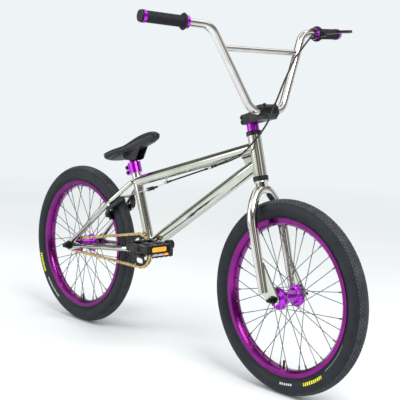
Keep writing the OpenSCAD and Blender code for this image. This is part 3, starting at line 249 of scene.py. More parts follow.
def tinted(tree, source, shader, *stops):
    """Base colour from a pattern through a colour ramp."""
    made = ramp(tree, *stops)
    tree.links.new(source.outputs[0], made.inputs["Fac"])
    tree.links.new(made.outputs["Color"], shader.inputs["Base Color"])
    return made


def polished_metal(name, light, dark, rough=(0.04, 0.12), scale=14.0):
    """Plated steel: faint cloudy tone, fine wipe marks in the gloss."""
    finish, tree, shader, where = base_finish(name, light, metal=1.0)
    tinted(tree, grain(tree, where, scale, 4), shader, (0.35, dark), (0.7, light))
    vary(tree, grain(tree, where, scale * 9, 6), shader, *rough)
    return finish


def anodised(name, light, deep, rough=(0.16, 0.3)):
    """Dyed aluminium: bright metal under a clear coat, slightly uneven dye."""
    finish, tree, shader, where = base_finish(name, light, metal=1.0, coat=0.25, coat_rough=0.08)
    tinted(tree, grain(tree, where, 22, 4), shader, (0.3, deep), (0.7, light))
    vary(tree, grain(tree, where, 160, 5), shader, *rough)
    return finish


def dark_paint(name, light, deep, rough=(0.25, 0.42), metal=0.3, bump=0.00003, scale=500.0):
    """Black coated metal or plastic: fine grain, paler where it has rubbed."""
    finish, tree, shader, where = base_finish(name, light, metal=metal, level=0.35)
    tinted(tree, grain(tree, where, 60, 5), shader, (0.3, deep), (0.75, light))
    vary(tree, grain(tree, where, 90, 6), shader, *rough)
    bumpy(tree, grain(tree, where, scale, 3), shader, bump)
    return finish


def rubber(name, light, deep, rough=(0.5, 0.7), bump=0.00006, scale=700.0):
    """Moulded rubber: matt, finely pitted, dusty in patches."""
    finish, tree, shader, where = base_finish(name, light, level=0.25)
    tinted(tree, grain(tree, where, 25, 6), shader, (0.3, deep), (0.75, light))
    vary(tree, grain(tree, where, 45, 5), shader, *rough)
    bumpy(tree, grain(tree, where, scale, 4), shader, bump)
    return finish


CHROME = polished_metal("polished_plate", (0.62, 0.63, 0.58), (0.50, 0.51, 0.45))
BAR_CHROME = polished_metal("bar_plate", (0.72, 0.70, 0.69), (0.58, 0.56, 0.54))
SPOKE = polished_metal("spoke_steel", (0.20, 0.20, 0.21), (0.09, 0.09, 0.10), rough=(0.25, 0.45))
NIPPLE = polished_metal("nipple_nickel", (0.80, 0.79, 0.76), (0.60, 0.59, 0.56), rough=(0.12, 0.25))
BEARING = polished_metal("bearing_steel", (0.60, 0.60, 0.60), (0.45, 0.45, 0.45), rough=(0.1, 0.25))
GOLD = polished_metal("brass_chain", (0.72, 0.55, 0.26), (0.42, 0.30, 0.13), rough=(0.18, 0.4), scale=120)
RIM_PURPLE = anodised("rim_dye", (0.25, 0.012, 0.23), (0.14, 0.005, 0.14))
PURPLE = anodised("bright_dye", (0.62, 0.040, 0.86), (0.34, 0.014, 0.52), rough=(0.12, 0.24))
BLACK_ALLOY = dark_paint("black_alloy", (0.016, 0.017, 0.019), (0.005, 0.005, 0.006), metal=0.2)
BLACK_STEEL = dark_paint("black_steel", (0.020, 0.020, 0.022), (0.006, 0.006, 0.007), (0.22, 0.4), metal=0.4)
BLACK_PLASTIC = dark_paint("black_plastic", (0.012, 0.012, 0.014), (0.005, 0.005, 0.006), (0.35, 0.5), metal=0.0)
CABLE_BLACK = dark_paint("cable_sleeve", (0.010, 0.011, 0.012), (0.004, 0.004, 0.005), (0.3, 0.42), metal=0.0)
GRIP_RUBBER = rubber("grip_rubber", (0.011, 0.012, 0.015), (0.005, 0.006, 0.008))
TUBE_RUBBER = rubber("tube_rubber", (0.02, 0.02, 0.02), (0.01, 0.01, 0.01))


def amber_lens_painted_glow():
    """Moulded reflector: small prism pattern under clear amber, with a painted glow: a faint orange emission, though
    it is no lamp.
    """
    finish, tree, shader, where = base_finish("amber_lens_painted_glow", (1.0, 0.36, 0.01), coat=1.0, coat_rough=0.03)
    cells = node(tree, "TexVoronoi", Scale=420.0)
    link(tree, where, "Object", cells, "Vector")
    tinted(tree, cells, shader, (0.0, (1.0, 0.72, 0.10)), (0.55, (0.95, 0.28, 0.0)))
    # painted glow: the lens emits a faint orange light of its own, standing in for light it would only reflect
    shader.inputs["Emission Color"].default_value = (1.0, 0.40, 0.02, 1)
    shader.inputs["Emission Strength"].default_value = 0.35
    shader.inputs["Roughness"].default_value = 0.22
    bumpy(tree, cells, shader, 0.0004)
    return finish


AMBER = amber_lens_painted_glow()


# ---- finishes on the frame's own nodes ----
FINISH = {
    "polished_frame": CHROME, "purple_anodised": PURPLE,
    "black_alloy": BLACK_ALLOY, "black_steel": BLACK_STEEL,
    "bearing_steel": BEARING, "spoke_steel": SPOKE, "gold_chain": GOLD, "black_cable": CABLE_BLACK,
    "tyre_rubber": GRIP_RUBBER, "tube_rubber": TUBE_RUBBER, "grip_rubber": GRIP_RUBBER,
    "black_plastic": BLACK_PLASTIC, "saddle_cover": BLACK_PLASTIC,
}
slot_of = {part["node"]: part["material_slot"] for part in frame["record"]["subparts"]}
for name, shown in frame["nodes"].items():
    finish = FINISH[slot_of.get(name, "black_alloy")]
    if name.endswith("_rim"):
        finish = RIM_PURPLE
    if name in ("handlebar", "crossbar", "fork_blades"):
        finish = BAR_CHROME
    shown.data.materials.clear()
    shown.data.materials.append(finish)


# ---- tyres ----
def tyre_finish(name, marks):
    """Black rubber, dustier on the crown, with broken marks on its side. A mark is (from, to) in turns of the wheel,
    its place and half height across the tyre, and its colour."""
    finish, tree, shader, where = base_finish(name, (0.010, 0.012, 0.016), level=0.28)
    tone = tinted(tree, grain(tree, where, 30, 6), shader,
                  (0.3, (0.006, 0.008, 0.012)), (0.75, (0.013, 0.016, 0.022)))
    vary(tree, grain(tree, where, 70, 5), shader, 0.46, 0.64)
    fine = grain(tree, where, 1100, 3)
    bumpy(tree, fine, shader, 0.00005)
    split = tree.nodes.new("ShaderNodeSeparateXYZ")
    link(tree, where, "UV", split, "Vector")
    strokes = node(tree, "TexWave", Scale=1.0, Distortion=2.5, Detail=2.0, Detail_Scale=3.0, bands_direction="X")
    spread = node(tree, "Mapping")
    spread.inputs["Scale"].default_value = (60, 40, 1)
    link(tree, where, "UV", spread, "Vector")
    link(tree, spread, "Vector", strokes, "Vector")
    crown = ramp(tree, (0.0, 0.0), (0.135, 0.0), (0.150, 1.0), (0.590, 1.0), (0.605, 0.0), (1.0, 0.0))
    link(tree, split, "Y", crown, "Fac")
    dusty = ramp(tree, (0.3, (0.030, 0.033, 0.040)), (0.75, (0.062, 0.066, 0.076)))
    link(tree, grain(tree, where, 55, 6), "Fac", dusty, "Fac")
    worn = node(tree, "Mix", data_type="RGBA")
    link(tree, crown, "Color", worn, 0)
    link(tree, tone, "Color", worn, 6)
    link(tree, dusty, "Color", worn, 7)
    colour = worn.outputs[2]
    for start, end, across, high, shade in marks:
        inside = None
        for axis, low, top in (("X", start, end), ("Y", across - high, across + high)):
            middle, half = (low + top) / 2, (top - low) / 2
            away = node(tree, "Math", operation="COMPARE")
            away.inputs[1].default_value = middle
            away.inputs[2].default_value = half
            tree.links.new(split.outputs[axis], away.inputs[0])
            if inside is None:
                inside = away
            else:
                both = node(tree, "Math", operation="MULTIPLY")
                tree.links.new(inside.outputs[0], both.inputs[0])
                tree.links.new(away.outputs[0], both.inputs[1])
                inside = both
        broken = node(tree, "Math", operation="GREATER_THAN")
        broken.inputs[1].default_value = 0.28
        tree.links.new(strokes.outputs["Fac"], broken.inputs[0])
        cut = node(tree, "Math", operation="MULTIPLY")
        tree.links.new(inside.outputs[0], cut.inputs[0])
        tree.links.new(broken.outputs[0], cut.inputs[1])
        mix = node(tree, "Mix", data_type="RGBA")
        tree.links.new(cut.outputs[0], mix.inputs[0])
        tree.links.new(colour, mix.inputs[6])
        mix.inputs[7].default_value = (*shade, 1)
        colour = mix.outputs[2]
    tree.links.new(colour, shader.inputs["Base Color"])
    return finish


def tyre_grid(hub_x, around=900):
    """Tyre round its hub. Outer side: circle of 25 mm about radius 232 mm, then a straight wall down to the bead;
    the crown is cut by grooves, 150 across it and 7 round it. Inner side: the same, 3.3 mm in."""
    flank = np.linspace(52, 143, 13)
    crown = np.radians(np.concatenate([-flank[::-1], np.linspace(-50, 50, 49), flank]))
    turn_a = np.arange(around) * 2 * np.pi / around
    a, c = np.meshgrid(turn_a, crown, indexing="ij")
    arc = np.degrees(np.abs(c))
    on_crown = np.clip((50 - arc) / 3, 0, 1)
    row = np.floor((np.degrees(c) + 50) / 14.3)
    phase = (a / (2 * np.pi) * 150 + 0.5 * (row % 2)) % 1
    cross_cut = np.where(phase < 0.30, 1.0, 0.0)
    round_cut = np.where(((np.degrees(c) + 50) % 14.3) < 3.2, 1.0, 0.0)
    relief = 0.0021 * np.maximum(cross_cut, round_cut) * on_crown
    worn = 0.0006 * np.clip((arc - 34) / 16, 0, 1) * on_crown
    ribs = 0.00025 * np.clip(1 - np.abs(arc - 60) / 2.5, 0, 1)
    ribs = ribs + 0.0003 * np.clip(1 - np.abs(arc - 118) / 3, 0, 1)
    r = 0.025 - relief - worn + ribs - 0.0003 * (arc > 56)
    outer = np.stack([0.232 + r * np.cos(c), r * np.sin(c)], -1)
    inside = crown[::-3]
    a2, c2 = np.meshgrid(turn_a, inside, indexing="ij")
    inner = np.stack([0.232 + 0.0217 * np.cos(c2), 0.0217 * np.sin(c2)], -1)
    toe, heel = 0.0138, 0.0115
    low, high, high_in, low_in = (np.broadcast_to([0.2045, y], (around, 1, 2)) for y in (-toe, toe, heel, -heel))
    section = np.concatenate([low, outer, high, high_in, inner, low_in], axis=1)
    angle = turn_a[:, None]
    x = hub_x + section[..., 0] * np.sin(angle)
    z = HUB_Z - section[..., 0] * np.cos(angle)
    return np.stack([x, section[..., 1], z], -1)


YELLOW_INK = (0.80, 0.74, 0.02)
MARKS = {
    "front": [(0.065, 0.113, 0.058, 0.013, YELLOW_INK), (0.125, 0.195, 0.036, 0.004, (0.35, 0.37, 0.38)),
              (0.006, 0.036, 0.054, 0.008, (0.55, 0.57, 0.58))],
    "rear": [(0.795, 0.842, 0.070, 0.013, YELLOW_INK), (0.860, 0.922, 0.058, 0.007, (0.50, 0.52, 0.53))],
}
for end, hub_x in HUB_X.items():
    mesh = grid_mesh(end + "_tread", tyre_grid(hub_x), round_u=True, round_v=True)
    marked = tyre_finish(end + "_tyre_rubber", MARKS[end])
    tyre = add_piece(end + "_tread", mesh, end + "_wheel", marked)
    tyre.data.set_sharp_from_angle(angle=np.radians(35))
    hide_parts(end + "_tyre")


# ---- saddle ----
def saddle_shape():
    """Closed pad in the saddle's own frame. Along x, its top, underside and half width are smooth curves;
    round it: a flattened oval whose upper half is crowned and whose sides pull in below."""
    x = np.array([-85, -82, -75, -60, -47, -30, -15, 0, 13, 35, 53, 70, 80, 95, 108, 122, 130, 134.5])
    top = np.array([27, 31, 33, 33.5, 33.5, 33.5, 33.5, 35.5, 39, 43, 45.5, 46.2, 46, 45.6, 44.6, 42, 38, 31])
    low = np.array([9, 4, 3.4, 3.4, 4.6, 6, 7, 7.6, 8.4, 9.5, 10.5, 11.5, 12, 12.4, 13, 14, 16, 21])
    half = np.array([36, 47, 57, 61, 60.5, 54, 46, 38.5, 32.5, 26.5, 23.5, 21.5, 20.8, 20.2, 19.6, 17.8, 14.5, 8])
    quarter = np.linspace(0, np.pi / 2, 10)
    tail, nose = -85 + 12 * (1 - np.cos(quarter)), 122 + 12.5 * np.sin(quarter)
    along = np.concatenate([tail[:-1], np.linspace(-73, 122, 60), nose[1:]])
    zt, zl, w = (np.interp(along, x, v) for v in (top, low, half))
    soft = np.ones(7) / 7
    zt, zl, w = (np.convolve(np.pad(v, 3, mode="edge"), soft, "valid") for v in (zt, zl, w))
    b = np.arange(56) * 2 * np.pi / 56
    cosb, sinb = np.cos(b), np.sin(b)
    side = np.sign(cosb) * np.abs(cosb) ** 0.82
    rise = np.where(sinb > 0, np.abs(sinb) ** 0.85, -np.abs(sinb) ** 0.7)
    mid = zl + (zt - zl) * 0.42
    z = mid[:, None] + np.where(rise[None] > 0, (zt - mid)[:, None], (mid - zl)[:, None]) * rise
    pull = 1 - 0.16 * np.clip(-rise, 0, 1)[None] ** 1.5
    y = w[:, None] * side[None] * pull
    return np.stack([np.broadcast_to(along[:, None], y.shape), y, z], -1) / 1000


def leather():
    """Pebbled vinyl with a soft sheen."""
    finish, tree, shader, where = base_finish("saddle_vinyl", (0.011, 0.012, 0.013), level=0.4)
    tinted(tree, grain(tree, where, 35, 5), shader,
           (0.3, (0.007, 0.008, 0.009)), (0.75, (0.014, 0.015, 0.017)))
    vary(tree, grain(tree, where, 60, 5), shader, 0.36, 0.5)
    cells = node(tree, "TexVoronoi", Scale=1500.0)
    link(tree, where, "Object", cells, "Vector")
    bumpy(tree, cells, shader, 0.00012, 0.8)
    return finish


def puffed(piece, cap):
    """Swells a padded piece: remeshed at 4 mm, then cloth under pressure with no gravity for 20 frames,
    with no point moving further than cap."""
    remesh = piece.modifiers.new("even", "REMESH")
    remesh.mode = "VOXEL"
    remesh.voxel_size = 0.004
    bpy.context.view_layer.objects.active = piece
    bpy.ops.object.modifier_apply(modifier="even")
    rest = np.zeros(len(piece.data.vertices) * 3, np.float32)
    piece.data.vertices.foreach_get("co", rest)
    cloth = piece.modifiers.new("fabric", "CLOTH")
    cloth.settings.use_pressure = True
    cloth.settings.uniform_pressure_force = 4.0
    cloth.settings.effector_weights.gravity = 0.0
    cloth.settings.tension_stiffness = 30
    cloth.settings.compression_stiffness = 30
    cloth.settings.bending_stiffness = 2
    scene = bpy.context.scene
    for step in range(1, 21):
        scene.frame_set(step)
    view = piece.evaluated_get(bpy.context.evaluated_depsgraph_get())
    now = np.zeros(len(view.data.vertices) * 3, np.float32)
    view.data.vertices.foreach_get("co", now)
    moved = (now - rest).reshape(-1, 3)
    far = np.linalg.norm(moved, axis=1)[:, None]
    settled = rest.reshape(-1, 3) + moved * np.minimum(1, cap / np.maximum(far, 1e-9))
    piece.modifiers.remove(cloth)
    scene.frame_set(1)
    piece.data.vertices.foreach_set("co", settled.ravel().astype(np.float32))
    piece.data.update()


shape = placed(saddle_shape() * np.array([0.995, 0.985, 1.0]), ON_SADDLE)
cover = grid_mesh("saddle_cover", shape, round_v=True, caps=True, uv=False)
saddle = add_piece("saddle_cover", cover, None, leather())
puffed(saddle, 0.0015)
saddle.data.shade_smooth()
softer = saddle.modifiers.new("soft", "SUBSURF")
softer.levels = softer.render_levels = 1
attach(saddle, "saddle")
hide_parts("saddle_pad")


def saddle_seam():
    """Welt round the pad's side: a 1.8 mm cord lying a little below the crown."""
    rows = saddle_shape()[3:-3]
    ring = rows[:, [4, 24]]
    path = np.concatenate([ring[:, 0], ring[::-1, 1]]) * 1000
    centre = np.array([20, 0, 30])
    path = centre + (path - centre) * np.array([1.0, 1.012, 1.0])
    return np.concatenate([path, path[:1]]) / 1000


welt = placed(saddle_seam(), ON_SADDLE)
welt_mesh = grid_mesh("saddle_welt", tube_grid(welt, 0.0009, 8), round_v=True)
add_piece("saddle_welt", welt_mesh, "saddle", BLACK_PLASTIC)


# ---- grips ----
def grip_profile():
    """Sleeve from its inner flange to its end: flange 22 mm out, then rounded ribs 3.5 mm apart and 0.8 mm high."""
    y = np.linspace(0, 0.112, 260)
    flange = np.clip(1 - np.abs(y - 0.0042) / 0.0042, 0, 1) ** 0.3
    ribs = 0.5 + 0.5 * np.cos((y - 0.012) / 0.0035 * 2 * np.pi)
    body = 0.0140 + 0.0008 * ribs ** 2 * (y > 0.012) * (y < 0.106)
    return y, np.where(y < 0.0085, body + 0.0078 * flange, body)


# ---- brake cable ----
ROUTE = np.array([
    [317, 222, 949.5], [320.4, 205, 948.7], [324, 188, 941], [327, 168, 926], [329, 145, 905], [331, 118, 880],
    [337, 88, 843], [347, 56, 806], [361, 22, 769], [373, -8, 738], [378, -26, 712], [369, -37, 686],
    [350, -39, 664], [326, -36, 643], [302, -31, 626], [277, -25, 612], [246, -16, 600], [212, -7, 589],
    [176, -1, 578], [140, 0, 566], [92, 0, 550], [44, 0, 534], [-4, 0, 518], [-52, 0, 502]]) / 1000


def cable_path(steps=6):
    """Smooth curve through the route: between two points b and c, with a before and d after,
    half of (2b + (c - a)t + (2a - 5b + 4c - d)t^2 + (3b - a - 3c + d)t^3)."""
    p = np.concatenate([ROUTE[:1], ROUTE, ROUTE[-1:]])
    a, b, c, d = (p[i:len(p) - 3 + i][:, None] for i in range(4))
    t = (np.arange(steps) / steps)[None, :, None]
    square, cube = 2 * a - 5 * b + 4 * c - d, 3 * b - a - 3 * c + d
    curve = 0.5 * (2 * b + (c - a) * t + square * t ** 2 + cube * t ** 3)
    return np.concatenate([curve.reshape(-1, 3), ROUTE[-1:]])


sleeve = grid_mesh("cable_sleeve", tube_grid(cable_path(), 0.0024, 16), round_v=True, caps=True)
outer = add_piece("cable_sleeve", sleeve, None, CABLE_BLACK)
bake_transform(outer)
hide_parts("brake_cable")
REAR_AXLE = np.array([-0.453, 0, 0.257])


def on_stay(t, y, w):
    """Point t along the seat stay from the rear axle, y to its left, w behind it, in mm."""
    c, s = np.cos(np.radians(41.6)), np.sin(np.radians(41.6))
    return REAR_AXLE + np.array([t * c - w * s, y, t * s + w * c]) / 1000


def wire(name, *points):
    """Bare inner wire: 0.8 mm radius through a few points."""
    path = np.array(points)
    t = np.linspace(0, 1, 24)
    lengths = np.concatenate([[0], np.cumsum(np.linalg.norm(np.diff(path, axis=0), axis=1))])
    path = np.stack([np.interp(t * lengths[-1], lengths, path[:, i]) for i in range(3)], -1)
    mesh = grid_mesh(name, tube_grid(path, 0.0008, 8), round_v=True, caps=True)
    add_piece(name, mesh, "frame", BEARING)


wire("pull_wire", (-0.0525, 0, 0.502), (-0.0895, 0, 0.486))
for side, word in ((1, "left"), (-1, "right")):
    hanger_end, tyre_side = (-0.1345, 0.003 * side, 0.472), (-0.178, 0.0205 * side, 0.455)
    wire(word + "_straddle_wire", hanger_end, tyre_side, on_stay(287, 20 * side, -18.3))


def ferrule(name, a, b, body):
    """End cap on the cable: 3.1 mm radius with a rolled lip, between two points."""
    t = np.array([0, 0.04, 0.1, 0.22, 0.3, 0.86, 0.94, 1.0])
    r = np.array([0.0025, 0.0031, 0.0034, 0.0034, 0.0030, 0.0030, 0.0027, 0.0022])
    path = np.asarray(a) + (np.asarray(b) - a) * t[:, None]
    mesh = grid_mesh(name, tube_grid(path, r, 24), round_v=True, caps=True)
    add_piece(name, mesh, body, BLACK_ALLOY)


slope = np.array([0.96, 0, 0.32]) / np.hypot(0.96, 0.32)
first = np.array([0.140, 0, 0.566])
ferrule("front_ferrule", first + slope * 0.024, first + slope * 0.006, "frame")
rear_guide = np.array([-0.048, 0, 0.5034])
ferrule("rear_ferrule", rear_guide + slope * 0.022, rear_guide + slope * 0.006, "frame")
ferrule("middle_ferrule", first - slope * 0.024, first - slope * 0.006, "frame")

for side, word in ((1, "left"), (-1, "right")):
    y, r = grip_profile()
    y0 = 0.0761 + y
    rows = np.concatenate([[0.0112], r, [0.0112]])
    spots = np.concatenate([[y0[0]], y0, [y0[-1]]])
    points = placed(lathe_grid(spots, rows, 48), ON_STEERER, ON_BAR, ON_GRIP)
    points = points * np.array([1, side, 1])
    mesh = grid_mesh(word + "_grip", points, round_v=True)
    grip = add_piece(word + "_grip", mesh, "steering", GRIP_RUBBER)
    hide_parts("grips")


# ---- finer copies of the frame's nodes ----
def finer(name, *finishes, choose=None, sharp=32, bevel=0.0):
    """Copy of a node with its triangles joined, smooth across gentle angles.
    choose(centres) gives each face its finish."""
    shown = frame["nodes"][name]
    mesh = shown.data.copy()
    bm = bmesh.new()
    bm.from_mesh(mesh)
    bmesh.ops.remove_doubles(bm, verts=bm.verts, dist=0.000005)
    bm.to_mesh(mesh)
    bm.free()
    mesh.name = name + "_fine"
    mesh.materials.clear()
    for finish in finishes:
        mesh.materials.append(finish)
    if choose is not None:
        centres = np.zeros(len(mesh.polygons) * 3, np.float32)
        mesh.polygons.foreach_get("center", centres)
        mesh.polygons.foreach_set("material_index", choose(centres.reshape(-1, 3)).astype(np.int32))
    mesh.shade_smooth()
    mesh.set_sharp_from_angle(angle=np.radians(sharp))
    piece = bpy.data.objects.new(name + "_fine", mesh)
    bpy.context.scene.collection.objects.link(piece)
    if bevel:
        edge = piece.modifiers.new("edge", "BEVEL")
        edge.width, edge.segments, edge.limit_method, edge.angle_limit = bevel, 2, "ANGLE", np.radians(40)
        edge.harden_normals = False
    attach(piece, shown["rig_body"])
    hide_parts(name)
    return piece


for name in ("bb_shell", "chain_stays", "seat_stays", "fork_steerer"):
    finer(name, CHROME)


# ---- tubes of the frame, fork and bar ----
UP_HEAD = np.array([-np.cos(LEAN), 0, np.sin(LEAN)])
UP_SEAT = np.array([-np.cos(np.radians(69)), 0, np.sin(np.radians(69))])
BB = np.array([-0.10712, 0, 0.293])


def met(start, way, axis_at, axis, radius, far):
    """Distance along each ray at which it meets a round tube: the near or far root of |w + t d|^2 = r^2,
    seen down the tube's axis."""
    w, d = start - axis_at, way - (way @ axis) * axis
    w = w - (w @ axis)[:, None] * axis
    b, c, a = w @ d, (w * w).sum(1) - radius ** 2, d @ d
    root = np.sqrt(np.maximum(b * b - a * c, 0))
    return (-b + (root if far else -root)) / a


def mitred_tube(name, a, b, radius, at_rear, at_front, rows=60, end_radius=None):
    """Round tube from a to b whose ends follow the tubes they meet: each of its lines runs between two
    meeting points, and its last seventh eases to end_radius."""
    way = (b - a) / np.linalg.norm(b - a)
    side, t = np.array([0, 1.0, 0]), np.arange(96) * 2 * np.pi / 96
    ring = np.cos(t)[:, None] * side + np.sin(t)[:, None] * np.cross(way, side)
    from_t = np.max([met(a + radius * ring, way, p, axis, r, True) for p, axis, r in at_rear], axis=0)
    last = end_radius or radius
    to_t = np.min([met(a + last * ring, way, p, axis, r, False) for p, axis, r in at_front], axis=0)
    u = np.linspace(0, 1, rows)[:, None]
    run = from_t + (to_t - from_t) * u
    eased = np.clip((u - 0.86) / 0.14, 0, 1)
    r = radius + (last - radius) * eased ** 2 * (3 - 2 * eased)
    points = a + run[..., None] * way + r[..., None] * ring
    add_piece(name + "_fine", grid_mesh(name + "_fine", points, round_v=True), "frame", CHROME)
    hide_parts(name)


head_axis = (FOOT, UP_HEAD, 0.0176)
seat_axis = (BB, UP_SEAT, 0.0141)
bb_axis = (BB, np.array([0, 1.0, 0]), 0.0226)
mitred_tube("top_tube", BB + 0.213 * UP_SEAT, FOOT + 0.404 * UP_HEAD, 0.0159, [seat_axis], [head_axis])
mitred_tube("down_tube", BB + np.array([0, 0, 0.013]), FOOT + 0.360 * UP_HEAD, 0.019, [seat_axis, bb_axis],
            [head_axis], end_radius=0.0172)


def round_tube(name, path, radius, body, finish, sides=96, hint=(1.0, 0, 0)):
    """Plain round tube along a path, in place of the node of that name."""
    mesh = grid_mesh(name + "_fine", tube_grid(path, radius, sides, hint), round_v=True, caps=True)
    piece = add_piece(name + "_fine", mesh, body, finish)
    piece.data.set_sharp_from_angle(angle=np.radians(40))
    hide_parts(name)


def steps(a, b, count):
    """Evenly spaced points from a to b."""
    return np.asarray(a) + (np.asarray(b) - a) * np.linspace(0, 1, count)[:, None]


round_tube("head_tube", steps(FOOT + 0.326 * UP_HEAD, FOOT + 0.436 * UP_HEAD, 12), 0.018, "frame", CHROME)
round_tube("seat_tube", steps(BB + 0.0205 * UP_SEAT, BB + 0.266 * UP_SEAT, 24), 0.0145, "frame", CHROME)


def bent_path(corners, radii):
    """Straight runs with a round bend at each inner corner: the arc starts r tan(half the turn) before it."""
    corners = np.asarray(corners, float)
    parts = [corners[:1]]
    for before, at, after, radius in zip(corners[:-2], corners[1:-1], corners[2:], radii):
        d0, d1 = at - before, after - at
        d0, d1 = d0 / np.linalg.norm(d0), d1 / np.linalg.norm(d1)
        angle = np.arccos(d0 @ d1)
        start = at - radius * np.tan(angle / 2) * d0
        inward = d1 - (d1 @ d0) * d0
        inward /= np.linalg.norm(inward)
        a = np.linspace(0, angle, 20)[:, None]
        arc = start + radius * (np.sin(a) * d0 + (1 - np.cos(a)) * inward)
        run = steps(parts[-1][-1], arc[0], 24)[1:-1]
        parts += [run, arc]
    return np.concatenate(parts + [steps(parts[-1][-1], corners[-1], 24)[1:]])


grip_way = turn("Z", 10.5) @ turn("X", 5) @ np.array([0, 1.0, 0])
tip = np.array([0, 0.172, 0.216]) + (0.366 - 0.172) / grip_way[1] * grip_way
half_bar = [tip, (0, 0.172, 0.216), (0, 0.057, 0)]
bar = np.array(half_bar + [np.array(p) * [1, -1, 1] for p in half_bar[::-1]])
bar_path = placed(bent_path(bar, [0.050, 0.044, 0.044, 0.050]), ON_STEERER, ON_BAR)
round_tube("handlebar", bar_path, 0.0111, "steering", BAR_CHROME)
cross = placed(steps((0, -0.1422, 0.160), (0, 0.1422, 0.160), 20), ON_STEERER, ON_BAR)
round_tube("crossbar", cross, 0.008, "steering", BAR_CHROME)


def fork_path():
    """Blades and crown in one arch: straight up, a 130 mm arc through 40 degrees, then the crown's own arc."""
    bend = (0.057 - 0.130 * (1 - np.cos(np.radians(40)))) / np.cos(np.radians(40))
    top = 0.304 - 0.0132
    shoulder = top - bend * (1 - np.sin(np.radians(40))) - 0.130 * np.sin(np.radians(40))
    a = np.radians(np.linspace(0, 40, 16))
    rise = np.stack([0.057 - 0.130 * (1 - np.cos(a)), shoulder + 0.130 * np.sin(a)], 1)
    b = np.radians(np.linspace(40, 90, 20))
    over = np.stack([bend * np.cos(b), top - bend + bend * np.sin(b)], 1)
    leg = np.stack([np.full(24, 0.057), np.linspace(0.020, shoulder, 24)], 1)
    half = np.concatenate([leg[:-1], rise, over[1:]])
    whole = np.concatenate([half, half[-2::-1] * [-1, 1]])
    radius = np.interp(whole[:, 1], [0.020, shoulder], [0.0112, 0.0132])
    return np.stack([np.zeros(len(whole)), whole[:, 0], whole[:, 1]], -1), radius


arch, thickness = fork_path()
round_tube("fork_blades", placed(arch, ON_STEERER), thickness, "steering", BAR_CHROME)
for end in ("front", "rear"):
    hub = np.array([HUB_X[end], 0, HUB_Z])
    past_nipples = lambda c: np.hypot(c[:, 0] - hub[0], c[:, 2] - hub[2]) > 0.1915
    finer(end + "_spokes", SPOKE, NIPPLE, choose=past_nipples)
    finer(end + "_rim", RIM_PURPLE)
    finer(end + "_hub", PURPLE)
for name in ("headset_spacer", "seat_clamp", "grip_rings", "lever_barrel"):
    finer(name, PURPLE, bevel=0.0004)
for name in ("stem_body", "stem_cap", "crank_arms", "brake_arm_left", "brake_arm_right", "brake_hanger",
             "headset_cups"):
    finer(name, BLACK_ALLOY, bevel=0.0008)
for side in ("right", "left"):
    finer(side + "_pedal", BLACK_ALLOY, bevel=0.0005)


def reflector(low, high, sign):
    """Rounded amber plate 50 by 13 mm on the cage's fore or aft face: |y/h|^8 + |z/h|^8 = 1, with a flat front."""
    b = np.arange(48) * 2 * np.pi / 48
    power = lambda v: np.sign(v) * np.abs(v) ** 0.25
    reach = np.array([0.999, 1.0, 1.0, 0.93])
    out = np.array([-0.0030, -0.0002, 0.0004, 0.0009])
    middle = (low + high) / 2
    front = high[0] if sign > 0 else low[0]
    x = front + sign * out
    y = middle[1] + 0.0250 * reach[:, None] * power(np.cos(b))
    z = middle[2] + 0.0065 * reach[:, None] * power(np.sin(b))
    return np.stack([np.broadcast_to(x[:, None], y.shape), y, z], -1)


for side in ("right", "left"):
    low, high = (np.array(corner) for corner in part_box(side + "_pedal"))
    for sign, word in ((1, "fore"), (-1, "aft")):
        name = side + "_" + word + "_reflector"
        lens = grid_mesh(name, reflector(low, high, sign), round_v=True, caps=True, uv=False)
        plate = add_piece(name, lens, side + "_pedal", AMBER)
        plate.data.set_sharp_from_angle(angle=0.6)


# ---- light, floor and camera ----
def stood(axes, place):
    """Matrix of three axes, as columns, at a place."""
    return Matrix([[*row, p] for row, p in zip(axes, place)] + [[0, 0, 0, 1]])


def camera():
    """Camera turned by yaw about z, pitched down, rolled, as a matrix of its right, up and back."""
    yaw, pitch, roll = np.radians([47.3, 7.4, 2.33])
    back = np.array([np.sin(yaw) * np.cos(pitch), -np.cos(yaw) * np.cos(pitch), np.sin(pitch)])
    right = np.cross(-back, [0, 0, 1.0])
    right /= np.linalg.norm(right)
    up = np.cross(right, -back)
    c, s = np.cos(roll), np.sin(roll)
    data = bpy.data.cameras.new("camera")
    data.lens, data.sensor_width = 84.3, 36
    data.clip_end = 60
    made = bpy.data.objects.new("camera", data)
    axes = np.stack([c * right + s * up, -s * right + c * up, back], 1)
    made.matrix_world = stood(axes, (2.0477, -1.7959, 0.8134))
    bpy.context.scene.collection.objects.link(made)
    bpy.context.scene.camera = made


def area_light(name, place, aim, size, power, tone=(1, 1, 1)):
    """Square soft light at a place, turned to a point."""
    data = bpy.data.lights.new(name, "AREA")
    data.size, data.energy, data.color = size, power, tone
    made = bpy.data.objects.new(name, data)
    back = np.array(place, float) - aim
    back /= np.linalg.norm(back)
    side = np.cross([0, 0, 1.0], back)
    side /= np.linalg.norm(side)
    made.matrix_world = stood(np.stack([side, np.cross(back, side), back], 1), place)
    bpy.context.scene.collection.objects.link(made)


